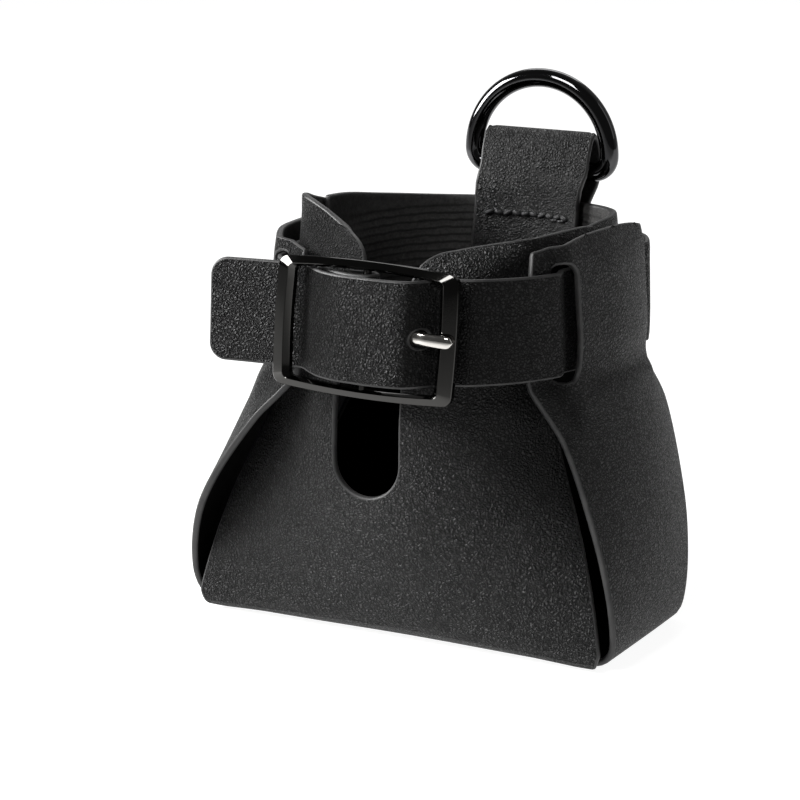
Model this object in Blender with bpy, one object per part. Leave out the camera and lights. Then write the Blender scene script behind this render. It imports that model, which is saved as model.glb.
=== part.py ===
"""Small drawn-in leather pouch with a neck strap, a centre-bar buckle and a D-ring tab.

World frame: metres, +Z up, the front faces -Y, origin at the centre of the underside.
Leather pieces are cut as flat outlines (s across, v along) and then bent into place.
"""
import math

import bmesh
import bpy
from mathutils import Matrix, Vector
from mathutils.geometry import delaunay_2d_cdt

MM = 0.001
GAP = 0.3 * MM
PLATE_GAP = 0.45 * MM

# Leather
WALL_T = 1.4 * MM
STRAP_T = 1.3 * MM
LAYER = 1.8 * MM             # pitch between two stacked layers, middle to middle

# Base, front and back
BASE_HALF_WIDTH = 44.0 * MM
FLAT_HALF_WIDTH = 38.8 * MM  # flat floor between the rolled side folds
FLAT_HALF_DEPTH = 15.9 * MM  # flat floor between the rolled front and back folds
PANEL_EDGE_AT_NECK = 35.2 * MM
PANEL_EDGE_TOP_Z = 51.7 * MM

# Drawn-in neck
NECK_RADIUS = 29.9 * MM      # middle of the innermost layer
NECK_Y = 6.4 * MM            # the neck's centre lies behind the base's centre
NECK_START_Z = 53.0 * MM     # every section above this is round
NECK_SHEAR = 0.085           # the drawn neck leans to the right at the back, to the left at the front
NECK_SHIFT = 1.3 * MM        # and sits a little to the right of the base
STRAP_Z = 63.2 * MM
STRAP_WIDTH = 20.0 * MM
STRAP_LEAN = 0.105           # slope of strap and buckle, top backwards
RIM_LEAN_Z = 70.7 * MM
RIM_NARROWS = 36.0           # the right side closes in above the strap, per metre of height squared
RIM_LEAN = 75.0              # the front leans back further above the strap, per metre of height squared
SQUEEZE_FADE = (math.radians(32.0), math.radians(85.0))
SQUEEZE = 3.4 * MM           # the neck is this much narrower at each side than a true round
LEAN_FADE = (math.radians(25.0), math.radians(75.0))    # angles from the front where the lean fades

# Rims
FRONT_RIM_Z = 77.5 * MM
SIDE_RIM_Z = 82.1 * MM
BACK_RIM_Z = 79.3 * MM
SIDE_PANEL_RIM_Z = 77.3 * MM
WING_LOW_Z = 54.7 * MM
FRONT_WING_END = 50.0 * MM
BACK_WING_END = 52.0 * MM

# U-notch in the front
NOTCH_HALF_WIDTH = 7.0 * MM
NOTCH_S = -1.2 * MM
NOTCH_BOTTOM_Z = 30.1 * MM
NOTCH_BAND_Z = 56.0 * MM     # above this the two flaps draw together
MOUTH_LEFT_S = -2.6 * MM     # inner corners of the two flaps at the rim
MOUTH_RIGHT_S = 6.8 * MM
RIM_CORNER_RADIUS = 5.0 * MM

# Side panels and their strap slots
SIDE_RADIUS = 35.35 * MM
SIDE_HALF_AT_BASE = 18.5 * MM
SIDE_REAR_AT_BASE = 15.6 * MM
SIDE_HALF_AT_NECK = 24.5 * MM
SLOT_S = 15.8 * MM
SLOT_WIDTH = 3.6 * MM
SLOT_LENGTH = 23.0 * MM
CROSSING = 1.15 * MM         # how far panel and strap step aside for each other
CROSSING_LENGTH = 4.1 * MM
LEFT_TWIST = math.radians(-12.0)
RIGHT_TWIST = math.radians(3.0)

# Buckle
FRAME_HALF_WIDTH = 18.5 * MM
FRAME_HALF_HEIGHT = 12.2 * MM
FRAME_SIDE_BAR = 3.6 * MM
FRAME_LONG_BAR = 1.8 * MM
FRAME_THICKNESS = 2.4 * MM
FRAME_BOW = 0.8 * MM
FRAME_Y = -28.8 * MM
BAR_Y = -28.6 * MM
BAR_RADIUS = 0.8 * MM
CHAPE_RADIUS = 1.8 * MM
PRONG_THICKNESS = 1.0 * MM
PRONG_WIDTH = 2.6 * MM
PRONG_EYE_RADIUS = 1.6 * MM
PRONG_HOLE_FROM_END = 33.2 * MM

# Ring and tab
TAB_HALF_WIDTH = 12.0 * MM
TAB_LOW_Z = 59.7 * MM
TAB_LAYER_TOP_Z = 77.3 * MM
TAB_LOOP_LOW_Z = 79.1 * MM
TAB_HINGE_Z = 78.7 * MM
TAB_STITCH_Z = 75.6 * MM
RING_Z = 84.9 * MM
RING_HALF_WIDTH = 15.1 * MM
RING_CORNER = 3.3 * MM
RING_WIRE = 1.9 * MM
THREAD_RADIUS = 0.35 * MM
CHAPE_THREAD = 0.25 * MM

SLIVER_AREA = 0.02 * MM * MM
WALL_STEP = 6.0 * MM
STRAP_STEP = 4.5 * MM


# ---------------------------------------------------------------- helpers

def smooth(low, high, value):
    t = min(1.0, max(0.0, (value - low) / (high - low)))
    return t * t * (3.0 - 2.0 * t)


def spline(points, steps=12):
    """Catmull-Rom curve through hand-set points, as a dense list of points."""
    rail = [2 * Vector(points[0]) - Vector(points[1])]
    rail += [Vector(p) for p in points]
    rail += [2 * Vector(points[-1]) - Vector(points[-2])]
    dense = []
    for a, b, c, d in zip(rail, rail[1:], rail[2:], rail[3:]):
        for k in range(steps):
            t = k / steps
            dense.append(0.5 * (2 * b + (c - a) * t + (2 * a - 5 * b + 4 * c - d) * t * t
                                + (3 * b - a - 3 * c + d) * t ** 3))
    dense.append(Vector(points[-1]))
    return dense


class Path:
    """A dense 2-D curve read by its own length."""

    def __init__(self, points):
        self.points = points
        self.lengths = [0.0]
        for a, b in zip(points, points[1:]):
            self.lengths.append(self.lengths[-1] + (b - a).length)
        self.length = self.lengths[-1]

    def at(self, distance):
        low, high = 0, len(self.lengths) - 2
        while low < high:
            mid = (low + high + 1) // 2
            if self.lengths[mid] <= distance:
                low = mid
            else:
                high = mid - 1
        span = self.lengths[low + 1] - self.lengths[low]
        return self.points[low].lerp(self.points[low + 1], (distance - self.lengths[low]) / span)

    def where(self, test):
        """Length at the first point that passes the test."""
        return next(d for p, d in zip(self.points, self.lengths) if test(p))


def place(x, y, z, strap=False):
    """Turn the round, upright neck into the real one: narrower, skewed, its front leant back.

    Every shift depends on the direction from the neck's centre, so stacked layers stay apart.
    """
    direction = math.atan2(abs(x), NECK_Y - y)
    to_side = smooth(*SQUEEZE_FADE, min(direction, math.pi - direction))
    if x > 0.0:
        narrow = SQUEEZE * smooth(20 * MM, NECK_START_Z, z)
        if not strap:
            narrow += RIM_NARROWS * max(0.0, z - RIM_LEAN_Z) ** 2
    else:
        narrow = SQUEEZE * smooth(46 * MM, 60 * MM, z)
    if strap or z > WING_LOW_Z:
        lean = STRAP_LEAN * (z - STRAP_Z)
    else:
        lean = STRAP_LEAN * (WING_LOW_Z - STRAP_Z) * smooth(36 * MM, WING_LOW_Z, z)
    if not strap:
        lean += RIM_LEAN * min(9.0 * MM, max(0.0, z - RIM_LEAN_Z)) ** 2
    lean *= 1.0 - smooth(*LEAN_FADE, direction)
    skew = NECK_SHEAR * smooth(5 * MM, 50 * MM, z) * y + NECK_SHIFT * smooth(20 * MM, 50 * MM, z)
    return Vector((x - math.copysign(narrow * to_side, x) + skew, y + lean, z))


def material(name, colour, roughness, metallic=0.0):
    slot = bpy.data.materials.new(name)
    slot.use_nodes = True
    shader = slot.node_tree.nodes["Principled BSDF"]
    shader.inputs["Base Color"].default_value = (*colour, 1.0)
    shader.inputs["Roughness"].default_value = roughness
    shader.inputs["Metallic"].default_value = metallic
    slot.diffuse_color = (*colour, 1.0)
    return slot


def add_mesh(name, bm, slot, origin=(0.0, 0.0, 0.0), turn=None):
    """Make an object whose origin is at a chosen world point."""
    bmesh.ops.recalc_face_normals(bm, faces=bm.faces)
    frame = Matrix.Translation(origin)
    if turn is not None:
        frame = frame @ turn
    else:
        bmesh.ops.translate(bm, verts=bm.verts, vec=-Vector(origin))
    mesh = bpy.data.meshes.new(name)
    bm.to_mesh(mesh)
    bm.free()
    mesh.shade_smooth()
    mesh.set_sharp_from_angle(angle=math.radians(35))
    obj = bpy.data.objects.new(name, mesh)
    obj.matrix_world = frame
    mesh.materials.append(slot)
    bpy.context.scene.collection.objects.link(obj)
    return obj


def lines(low, high, step):
    count = max(1, round((high - low) / step))
    return [low + (high - low) * k / count for k in range(count + 1)]


def inside(point, loop):
    hit = False
    for a, b in zip(loop, loop[1:] + loop[:1]):
        if (a[1] > point[1]) != (b[1] > point[1]):
            if point[0] < a[0] + (point[1] - a[1]) * (b[0] - a[0]) / (b[1] - a[1]):
                hit = not hit
    return hit


def distance_to(point, loop):
    best = 1.0
    p = Vector(point)
    for a, b in zip(loop, loop[1:] + loop[:1]):
        a, b = Vector(a), Vector(b)
        t = max(0.0, min(1.0, (p - a).dot(b - a) / (b - a).length_squared))
        best = min(best, (p - a.lerp(b, t)).length)
    return best


def split_loop(loop, s_lines, v_lines):
    """Add a point wherever an outline crosses a grid line."""
    result = []
    for a, b in zip(loop, loop[1:] + loop[:1]):
        cuts = {0.0}
        for axis, values in ((0, s_lines), (1, v_lines)):
            span = b[axis] - a[axis]
            if abs(span) > 1e-6:
                cuts.update((value - a[axis]) / span for value in values)
        length = math.dist(a, b)
        kept = []
        for t in sorted(c for c in cuts if 0.0 <= c < 1.0):
            near_start = kept and (t - kept[-1]) * length < 0.5 * MM
            near_end = t > 0.0 and (1.0 - t) * length < 0.5 * MM
            if not near_start and not near_end:
                kept.append(t)
        result += [(a[0] + (b[0] - a[0]) * t, a[1] + (b[1] - a[1]) * t) for t in kept]
    return result


def leather(name, slot, loops, bend, thickness, s_lines, v_lines, origin=(0, 0, 0)):
    """Cut a flat outline with holes, bend it and give it its thickness."""
    loops = [split_loop(loop, s_lines, v_lines) for loop in loops]
    points = [p for loop in loops for p in loop]
    edges = []
    start = 0
    for loop in loops:
        edges += [(start + k, start + (k + 1) % len(loop)) for k in range(len(loop))]
        start += len(loop)
    for k, s in enumerate(s_lines):
        gap_s = min(abs(s - other) for j, other in enumerate(s_lines) if j != k)
        for v in v_lines:
            far = min(distance_to((s, v), loop) for loop in loops)
            if inside((s, v), loops[0]) and not any(inside((s, v), h) for h in loops[1:]):
                if far > min(0.4 * gap_s, 1.6 * MM):
                    points.append((s, v))
    flat, _, triangles, _, _, _ = delaunay_2d_cdt([Vector(p) for p in points], edges, [], 0, 1e-7)
    kept = []
    for tri in triangles:
        a, b, c = (flat[k] for k in tri)
        if abs((b - a).cross(c - a)) < SLIVER_AREA:
            continue
        middle = (a + b + c) / 3
        if inside(middle, loops[0]) and not any(inside(middle, h) for h in loops[1:]):
            kept.append(tri)
    nudge = 0.05 * MM
    bm = bmesh.new()
    outer, inner = [], []
    for s, v in flat:
        normal = (bend(s + nudge, v) - bend(s - nudge, v)).cross(bend(s, v + nudge) - bend(s, v - nudge))
        normal.normalize()
        middle = bend(s, v)
        outer.append(bm.verts.new(middle + normal * thickness / 2))
        inner.append(bm.verts.new(middle - normal * thickness / 2))
    border = {}
    for tri in kept:
        bm.faces.new([outer[k] for k in tri])
        bm.faces.new([inner[k] for k in reversed(tri)])
        for a, b in zip(tri, tri[1:] + tri[:1]):
            if (b, a) in border:
                del border[(b, a)]
            else:
                border[(a, b)] = True
    for a, b in border:
        bm.faces.new((outer[a], inner[a], inner[b], outer[b]))
    bmesh.ops.delete(bm, geom=[v for v in bm.verts if not v.link_faces], context="VERTS")
    return add_mesh(name, bm, slot, origin)


def arc_loop(centre, radius, start, end, count):
    return [(centre[0] + radius * math.cos(start + (end - start) * k / count),
             centre[1] + radius * math.sin(start + (end - start) * k / count)) for k in range(count + 1)]


def slot_loop(s, v, width, height, count=6):
    """Upright slot with round ends."""
    r = width / 2
    top = arc_loop((s, v + height / 2 - r), r, 0, math.pi, count)
    low = arc_loop((s, v - height / 2 + r), r, math.pi, 2 * math.pi, count)
    return top + low


def long_hole(s, v, width, height, count=4):
    """Lying slot with round ends."""
    r = height / 2
    right = arc_loop((s + width / 2 - r, v), r, -math.pi / 2, math.pi / 2, count)
    left = arc_loop((s - width / 2 + r, v), r, math.pi / 2, 3 * math.pi / 2, count)
    return right + left


def tube(name, slot, points, radius, closed=False, sides=1, origin=(0, 0, 0)):
    """Round wire or thread along a run of world points."""
    curve = bpy.data.curves.new(name, "CURVE")
    curve.dimensions = "3D"
    curve.bevel_depth = radius
    curve.bevel_resolution = sides
    curve.use_fill_caps = True
    run = curve.splines.new("POLY")
    run.points.add(len(points) - 1)
    for point, place_at in zip(run.points, points):
        point.co = (*(Vector(place_at) - Vector(origin)), 1.0)
    run.use_cyclic_u = closed
    obj = bpy.data.objects.new(name, curve)
    obj.location = origin
    curve.materials.append(slot)
    bpy.context.scene.collection.objects.link(obj)
    return obj


# ---------------------------------------------------------------- bent walls

NECK_FRONT = NECK_RADIUS + LAYER - NECK_Y
NECK_BACK = NECK_RADIUS + NECK_Y
FRONT_PROFILE = Path(spline([(FLAT_HALF_DEPTH, 0.7 * MM), (18.2 * MM, 0.8 * MM), (20.2 * MM, 2.8 * MM),
                             (22.2 * MM, 10.2 * MM), (24.6 * MM, 20.5 * MM), (26.4 * MM, 32.6 * MM),
                             (26.4 * MM, 43.7 * MM), (NECK_FRONT, NECK_START_Z), (NECK_FRONT, 62 * MM),
                             (NECK_FRONT, 73 * MM), (NECK_FRONT, 86 * MM)]))
BACK_PROFILE = Path(spline([(FLAT_HALF_DEPTH, 0.7 * MM), (18.1 * MM, 0.8 * MM), (20.5 * MM, 3.2 * MM),
                            (23.6 * MM, 10.6 * MM), (28.2 * MM, 21 * MM), (32.6 * MM, 32.4 * MM),
                            (35.3 * MM, 43.5 * MM), (NECK_BACK, NECK_START_Z), (NECK_BACK, 62 * MM),
                            (NECK_BACK, 73 * MM), (NECK_BACK, 86 * MM)]))
SIDE_PROFILE = Path(spline([(FLAT_HALF_WIDTH, 0.7 * MM), (42.2 * MM, 0.9 * MM), (45.5 * MM, 3.8 * MM),
                            (46.6 * MM, 10.6 * MM), (45.8 * MM, 20.4 * MM), (43.3 * MM, 31.6 * MM),
                            (40.3 * MM, 41.6 * MM), (37.0 * MM, 49.0 * MM), (SIDE_RADIUS, 52.6 * MM),
                            (SIDE_RADIUS, 60 * MM), (SIDE_RADIUS, 73 * MM), (SIDE_RADIUS, 86 * MM)]))


def roundness(z):
    t = min(1.0, max(0.0, z / NECK_START_Z))
    return 0.6 * t + 0.4 * smooth(0.0, 1.0, t)


def arc_point(centre, facing, curvature, s):
    """Point at s along an arc that faces a given direction at s = 0."""
    normal = Vector((math.cos(facing), math.sin(facing)))
    tangent = Vector((-normal.y, normal.x))
    if curvature < 1e-6:
        return centre + tangent * s
    angle = curvature * s
    return centre + tangent * (math.sin(angle) / curvature) - normal * ((1 - math.cos(angle)) / curvature)


def bend_front(s, v):
    q, z = FRONT_PROFILE.at(v)
    spot = arc_point(Vector((0, -q)), -math.pi / 2, roundness(z) / (NECK_RADIUS + LAYER), s)
    return place(spot.x, spot.y, z)


def bend_back(s, v):
    q, z = BACK_PROFILE.at(v)
    spot = arc_point(Vector((0, q)), math.pi / 2, roundness(z) / NECK_RADIUS, s)
    return place(spot.x, spot.y, z)


def crossing(s):
    """+1 between the slots, -1 in the two margins outside them."""
    return 1.0 - 2.0 * smooth(SLOT_S - CROSSING_LENGTH / 2, SLOT_S + CROSSING_LENGTH / 2, abs(s))


def bend_side(side, twist):
    def bend(s, v):
        q, z = SIDE_PROFILE.at(v)
        rise = smooth(8 * MM, NECK_START_Z, z)
        facing = twist * rise
        q += CROSSING * crossing(s) * smooth(42 * MM, 51 * MM, z)
        centre = Vector((q * math.cos(facing), NECK_Y * rise + q * math.sin(facing)))
        spot = arc_point(centre, facing, roundness(z) / SIDE_RADIUS, s)
        return place(side * spot.x, spot.y, z)
    return bend


def rim_v(profile, z):
    return profile.where(lambda p: p.y >= z)


def notch_points(profile, mouth_s):
    """One side of the notch, from the rim down to its lowest point."""
    top = rim_v(profile, FRONT_RIM_Z)
    low = rim_v(profile, NOTCH_BOTTOM_Z)
    side = math.copysign(1.0, mouth_s)
    corner = arc_loop((0.0, top - RIM_CORNER_RADIUS), RIM_CORNER_RADIUS, math.pi / 2, math.pi, 4)
    corner = [(mouth_s + side * (RIM_CORNER_RADIUS + s), v) for s, v in corner]
    band = [(NOTCH_S + side * NOTCH_HALF_WIDTH, rim_v(profile, NOTCH_BAND_Z))]
    bowl = arc_loop((0.0, low + NOTCH_HALF_WIDTH), NOTCH_HALF_WIDTH, 0.0, -math.pi / 2, 6)
    return corner + band + [(NOTCH_S + side * s, v) for s, v in bowl]


def wall_outline(profile, edge_v, wing_end, rim_middle, notched):
    """Closed outline: up the right side, along the rim and down the left side."""
    side = rim_v(profile, SIDE_RIM_Z)
    wing = rim_v(profile, WING_LOW_Z)
    half = [(FLAT_HALF_WIDTH, 0.0), (BASE_HALF_WIDTH - 1.0 * MM, 3.0 * MM),
            (BASE_HALF_WIDTH, 6.0 * MM), (PANEL_EDGE_AT_NECK, edge_v),
            (PANEL_EDGE_AT_NECK + 1.5 * MM, wing), (wing_end, wing),
            (wing_end, side)]
    if notched:
        right = half + notch_points(profile, MOUTH_RIGHT_S)
        left = [(-s, v) for s, v in half] + notch_points(profile, MOUTH_LEFT_S)
        return right + left[-2::-1]
    half += [(0.5 * wing_end, rim_middle + 0.35 * (side - rim_middle)), (0.25 * wing_end, rim_middle)]
    return half + [(-s, v) for s, v in reversed(half)]


def make_walls(hide):
    step = WALL_STEP
    plate = bmesh.new()
    bmesh.ops.create_cube(plate, size=1.0)
    bmesh.ops.scale(plate, vec=(2 * (FLAT_HALF_WIDTH - PLATE_GAP), 2 * (FLAT_HALF_DEPTH - PLATE_GAP), WALL_T),
                    verts=plate.verts)
    bmesh.ops.translate(plate, vec=(0, 0, WALL_T / 2), verts=plate.verts)
    add_mesh("base_panel", plate, hide)

    front_top = rim_v(FRONT_PROFILE, SIDE_RIM_Z)
    loop = wall_outline(FRONT_PROFILE, rim_v(FRONT_PROFILE, PANEL_EDGE_TOP_Z), FRONT_WING_END,
                        rim_v(FRONT_PROFILE, FRONT_RIM_Z), True)
    leather("front_panel", hide, [loop], bend_front, WALL_T,
            lines(-FRONT_WING_END, FRONT_WING_END, step), fold_lines(front_top, step))

    back_top = rim_v(BACK_PROFILE, SIDE_RIM_Z)
    loop = wall_outline(BACK_PROFILE, rim_v(BACK_PROFILE, PANEL_EDGE_TOP_Z), BACK_WING_END,
                        rim_v(BACK_PROFILE, BACK_RIM_Z), False)
    leather("back_panel", hide, [loop], bend_back, WALL_T,
            lines(-BACK_WING_END, BACK_WING_END, step), fold_lines(back_top, step))

    top = rim_v(SIDE_PROFILE, SIDE_PANEL_RIM_Z)
    neck = rim_v(SIDE_PROFILE, NECK_START_Z)
    slot_v = rim_v(SIDE_PROFILE, STRAP_Z)
    rear = [(FLAT_HALF_DEPTH - 1.7 * MM, 0.0), (SIDE_REAR_AT_BASE, 11.0 * MM),
            (SIDE_HALF_AT_NECK, neck), (SIDE_HALF_AT_NECK, top)]
    front = [(-FLAT_HALF_DEPTH + 1.7 * MM, 0.0), (-SIDE_HALF_AT_BASE + 1.7 * MM, 4.0 * MM),
             (-SIDE_HALF_AT_BASE, 11.0 * MM), (-SIDE_HALF_AT_NECK, neck), (-SIDE_HALF_AT_NECK, top)]
    loop = rear + front[::-1]
    slots = [slot_loop(sign * SLOT_S, slot_v, SLOT_WIDTH, SLOT_LENGTH) for sign in (-1, 1)]
    near_slots = [sign * (SLOT_S + k * CROSSING_LENGTH / 2) for sign in (-1, 1) for k in (-1, -0.35, 0.35, 1)]
    across = sorted([-SIDE_HALF_AT_NECK, -6 * MM, 0.0, 6 * MM, SIDE_HALF_AT_NECK] + near_slots)
    for name, side, twist in (("left_side_panel", -1, LEFT_TWIST), ("right_side_panel", 1, RIGHT_TWIST)):
        leather(name, hide, [loop] + slots, bend_side(side, twist), WALL_T, across, fold_lines(top, step))


def fold_lines(top, step):
    """Rows that are close together in the rolled fold and wider above it."""
    return [0.0, 1.6 * MM, 3.2 * MM, 5.2 * MM] + lines(8.5 * MM, top, step)


# ---------------------------------------------------------------- strap

def neck_angle(beta):
    """Direction beta degrees round the neck from its front, anticlockwise from above."""
    return math.radians(beta - 90.0)


def strap_offset(beta):
    """Distance of the strap outside the innermost layer at an angle behind the buckle."""
    slots = []
    for side, twist in ((1, RIGHT_TWIST), (-1, LEFT_TWIST)):
        middle = side * (90.0 + math.degrees(twist))
        middle %= 360.0
        slots.append(middle)
    middle = SIDE_RADIUS - NECK_RADIUS
    for centre in slots:
        along = math.radians(beta - centre) * SIDE_RADIUS
        if abs(along) < SLOT_S + CROSSING_LENGTH:
            return middle - CROSSING * crossing(along)
    behind = slots[0] + math.degrees(SLOT_S / SIDE_RADIUS), slots[1] - math.degrees(SLOT_S / SIDE_RADIUS)
    if behind[0] < beta < behind[1]:
        t = (beta - behind[0]) / (behind[1] - behind[0])
        tight = 2 * LAYER + 0.1 * MM
        return tight + (middle + CROSSING - tight) * min(1.0, abs(2 * t - 1) * 1.35) ** 3
    return middle + CROSSING


def neck_run(start, end, step=2.0):
    """Strap middle line round the back of the neck, from one front corner to the other."""
    count = round(abs(end - start) / step)
    run = []
    for k in range(count + 1):
        beta = start + (end - start) * k / count
        radius = NECK_RADIUS + strap_offset(beta)
        angle = neck_angle(beta)
        run.append(Vector((radius * math.cos(angle), NECK_Y + radius * math.sin(angle))))
    return run


def strap_route():
    """Middle line seen from above: chape end, bar, round the neck, through the frame."""
    back_run = neck_run(360.0 - 40.0, 40.0)
    chape = spline([(-5.6 * MM, -27.3 * MM), (-2.8 * MM, -27.2 * MM), (0.0, BAR_Y + CHAPE_RADIUS)], 6)
    wrap = [Vector((CHAPE_RADIUS * math.cos(a), BAR_Y + CHAPE_RADIUS * math.sin(a)))
            for a in (math.pi / 2 - math.pi * k / 10 for k in range(1, 10))]
    ahead = back_run[0] + (back_run[0] - back_run[1])
    left = spline([(0.0, BAR_Y - CHAPE_RADIUS), (-4.0 * MM, -30.0 * MM), (-8.0 * MM, -28.2 * MM),
                   (-11.5 * MM, -26.1 * MM), (-14.5 * MM, -24.4 * MM), (-18.5 * MM, -23.6 * MM),
                   tuple(ahead)], 6)
    right = spline([tuple(back_run[-1]), (18.9 * MM, -24.9 * MM), (16.4 * MM, -25.5 * MM),
                    (14.1 * MM, -26.7 * MM), (12.2 * MM, -28.9 * MM), (10.4 * MM, -31.1 * MM),
                    (8.0 * MM, -32.3 * MM), (3.6 * MM, -32.6 * MM), (0.0, -32.5 * MM),
                    (-4.0 * MM, -32.1 * MM), (-8.0 * MM, -30.7 * MM), (-11.5 * MM, -28.4 * MM),
                    (-14.8 * MM, -25.9 * MM), (-19.3 * MM, -25.7 * MM)], 6)
    return Path(chape + wrap + left + back_run + right[1:])


TONGUE_ROUTE = Path(spline([(-19.6 * MM, -25.7 * MM), (-26.5 * MM, -26.4 * MM), (-35.2 * MM, -27.4 * MM)], 6))


def make_strap(hide, thread):
    route = strap_route()
    low, high = STRAP_Z - STRAP_WIDTH / 2, STRAP_Z + STRAP_WIDTH / 2
    wrap_start = 5.6 * MM
    wrap_end = wrap_start + math.pi * CHAPE_RADIUS
    across = lines(0.0, wrap_start, 4 * MM)[:-1] + lines(wrap_start, wrap_end, 0.9 * MM)[:-1]
    across += lines(wrap_end, route.length - 55 * MM, 3.2 * MM)[:-1]
    across += lines(route.length - 55 * MM, route.length, 2.4 * MM)
    outline = [(0.0, low), (route.length, low), (route.length, high), (0.0, high)]
    eye = long_hole((wrap_start + wrap_end) / 2, STRAP_Z, 11.5 * MM, 4.4 * MM)
    hole_s = route.length - PRONG_HOLE_FROM_END
    prong_hole = long_hole(hole_s, STRAP_Z, 6.0 * MM, 3.6 * MM)
    rows = [low, low + 2.4 * MM, low + 4.9 * MM, STRAP_Z - 2.6 * MM, STRAP_Z + 2.6 * MM,
            high - 3.7 * MM, high]

    def bend(s, v):
        spot = route.at(s)
        return place(spot.x, spot.y, v, strap=True)

    leather("neck_strap", hide, [outline, eye, prong_hole], bend, STRAP_T, across, rows)

    def bend_tongue(s, v):
        spot = TONGUE_ROUTE.at(s)
        return place(spot.x, spot.y, v, strap=True)

    end = TONGUE_ROUTE.length
    r = 3.6 * MM
    loop = [(0.0, low)] + arc_loop((end - r, low + r), r, -math.pi / 2, 0, 5)
    loop += arc_loop((end - r, high - r), r, 0, math.pi / 2, 5) + [(0.0, high)]
    root = bend_tongue(0.0, STRAP_Z)
    leather("strap_tongue", hide, [loop], bend_tongue, STRAP_T, lines(0.0, end, STRAP_STEP),
            lines(low, high, STRAP_STEP), origin=root)

    run = []
    stitch = 2.2 * MM
    count = int((STRAP_WIDTH - 4 * MM) / stitch)
    for k in range(4 * count + 1):
        z = low + 2 * MM + stitch * k / 4
        lift = (0.2 + 0.1 * math.sin(math.pi * (k % 4) / 4)) * MM
        spot = place(-4.2 * MM, -27.3 * MM + STRAP_T / 2 + CHAPE_THREAD + lift, z, strap=True)
        run.append(spot)
    tube("chape_stitching", thread, run, CHAPE_THREAD)


# ---------------------------------------------------------------- buckle

def frame_ring(inset_x, inset_z, bow, radius, y, side_points=4, corner_points=3):
    """Closed outline of the frame, bowed along its top and bottom."""
    hx, hz = FRAME_HALF_WIDTH - inset_x, FRAME_HALF_HEIGHT - inset_z
    ring = []
    for quarter in range(4):
        sx, sz = ((1, 1), (-1, 1), (-1, -1), (1, -1))[quarter]
        for k in range(corner_points + 1):
            a = math.radians(90 * quarter + 90 * k / corner_points)
            ring.append((sx * (hx - radius) + radius * math.cos(a), sz * (hz - radius) + radius * math.sin(a)))
        nx = ((-1, 1), (-1, -1), (1, -1), (1, 1))[quarter]
        start, end = ring[-1], (nx[0] * (hx - radius) + radius * math.cos(math.radians(90 * quarter + 90)),
                                nx[1] * (hz - radius) + radius * math.sin(math.radians(90 * quarter + 90)))
        for k in range(1, side_points):
            t = k / side_points
            ring.append((start[0] + (end[0] - start[0]) * t, start[1] + (end[1] - start[1]) * t))
    out = []
    for x, z in ring:
        lift = bow * (1 - (x / hx) ** 2) * (1 if z > 0 else -1)
        if abs(z) > hz - radius - 1e-9:
            z += lift
        out.append(Vector((x, y, z)))
    return out


def buckle_turn():
    return Matrix.Rotation(-math.atan(STRAP_LEAN), 4, "X")


def buckle_spot(y):
    return Vector((NECK_SHIFT + NECK_SHEAR * y, y, STRAP_Z))


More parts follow.
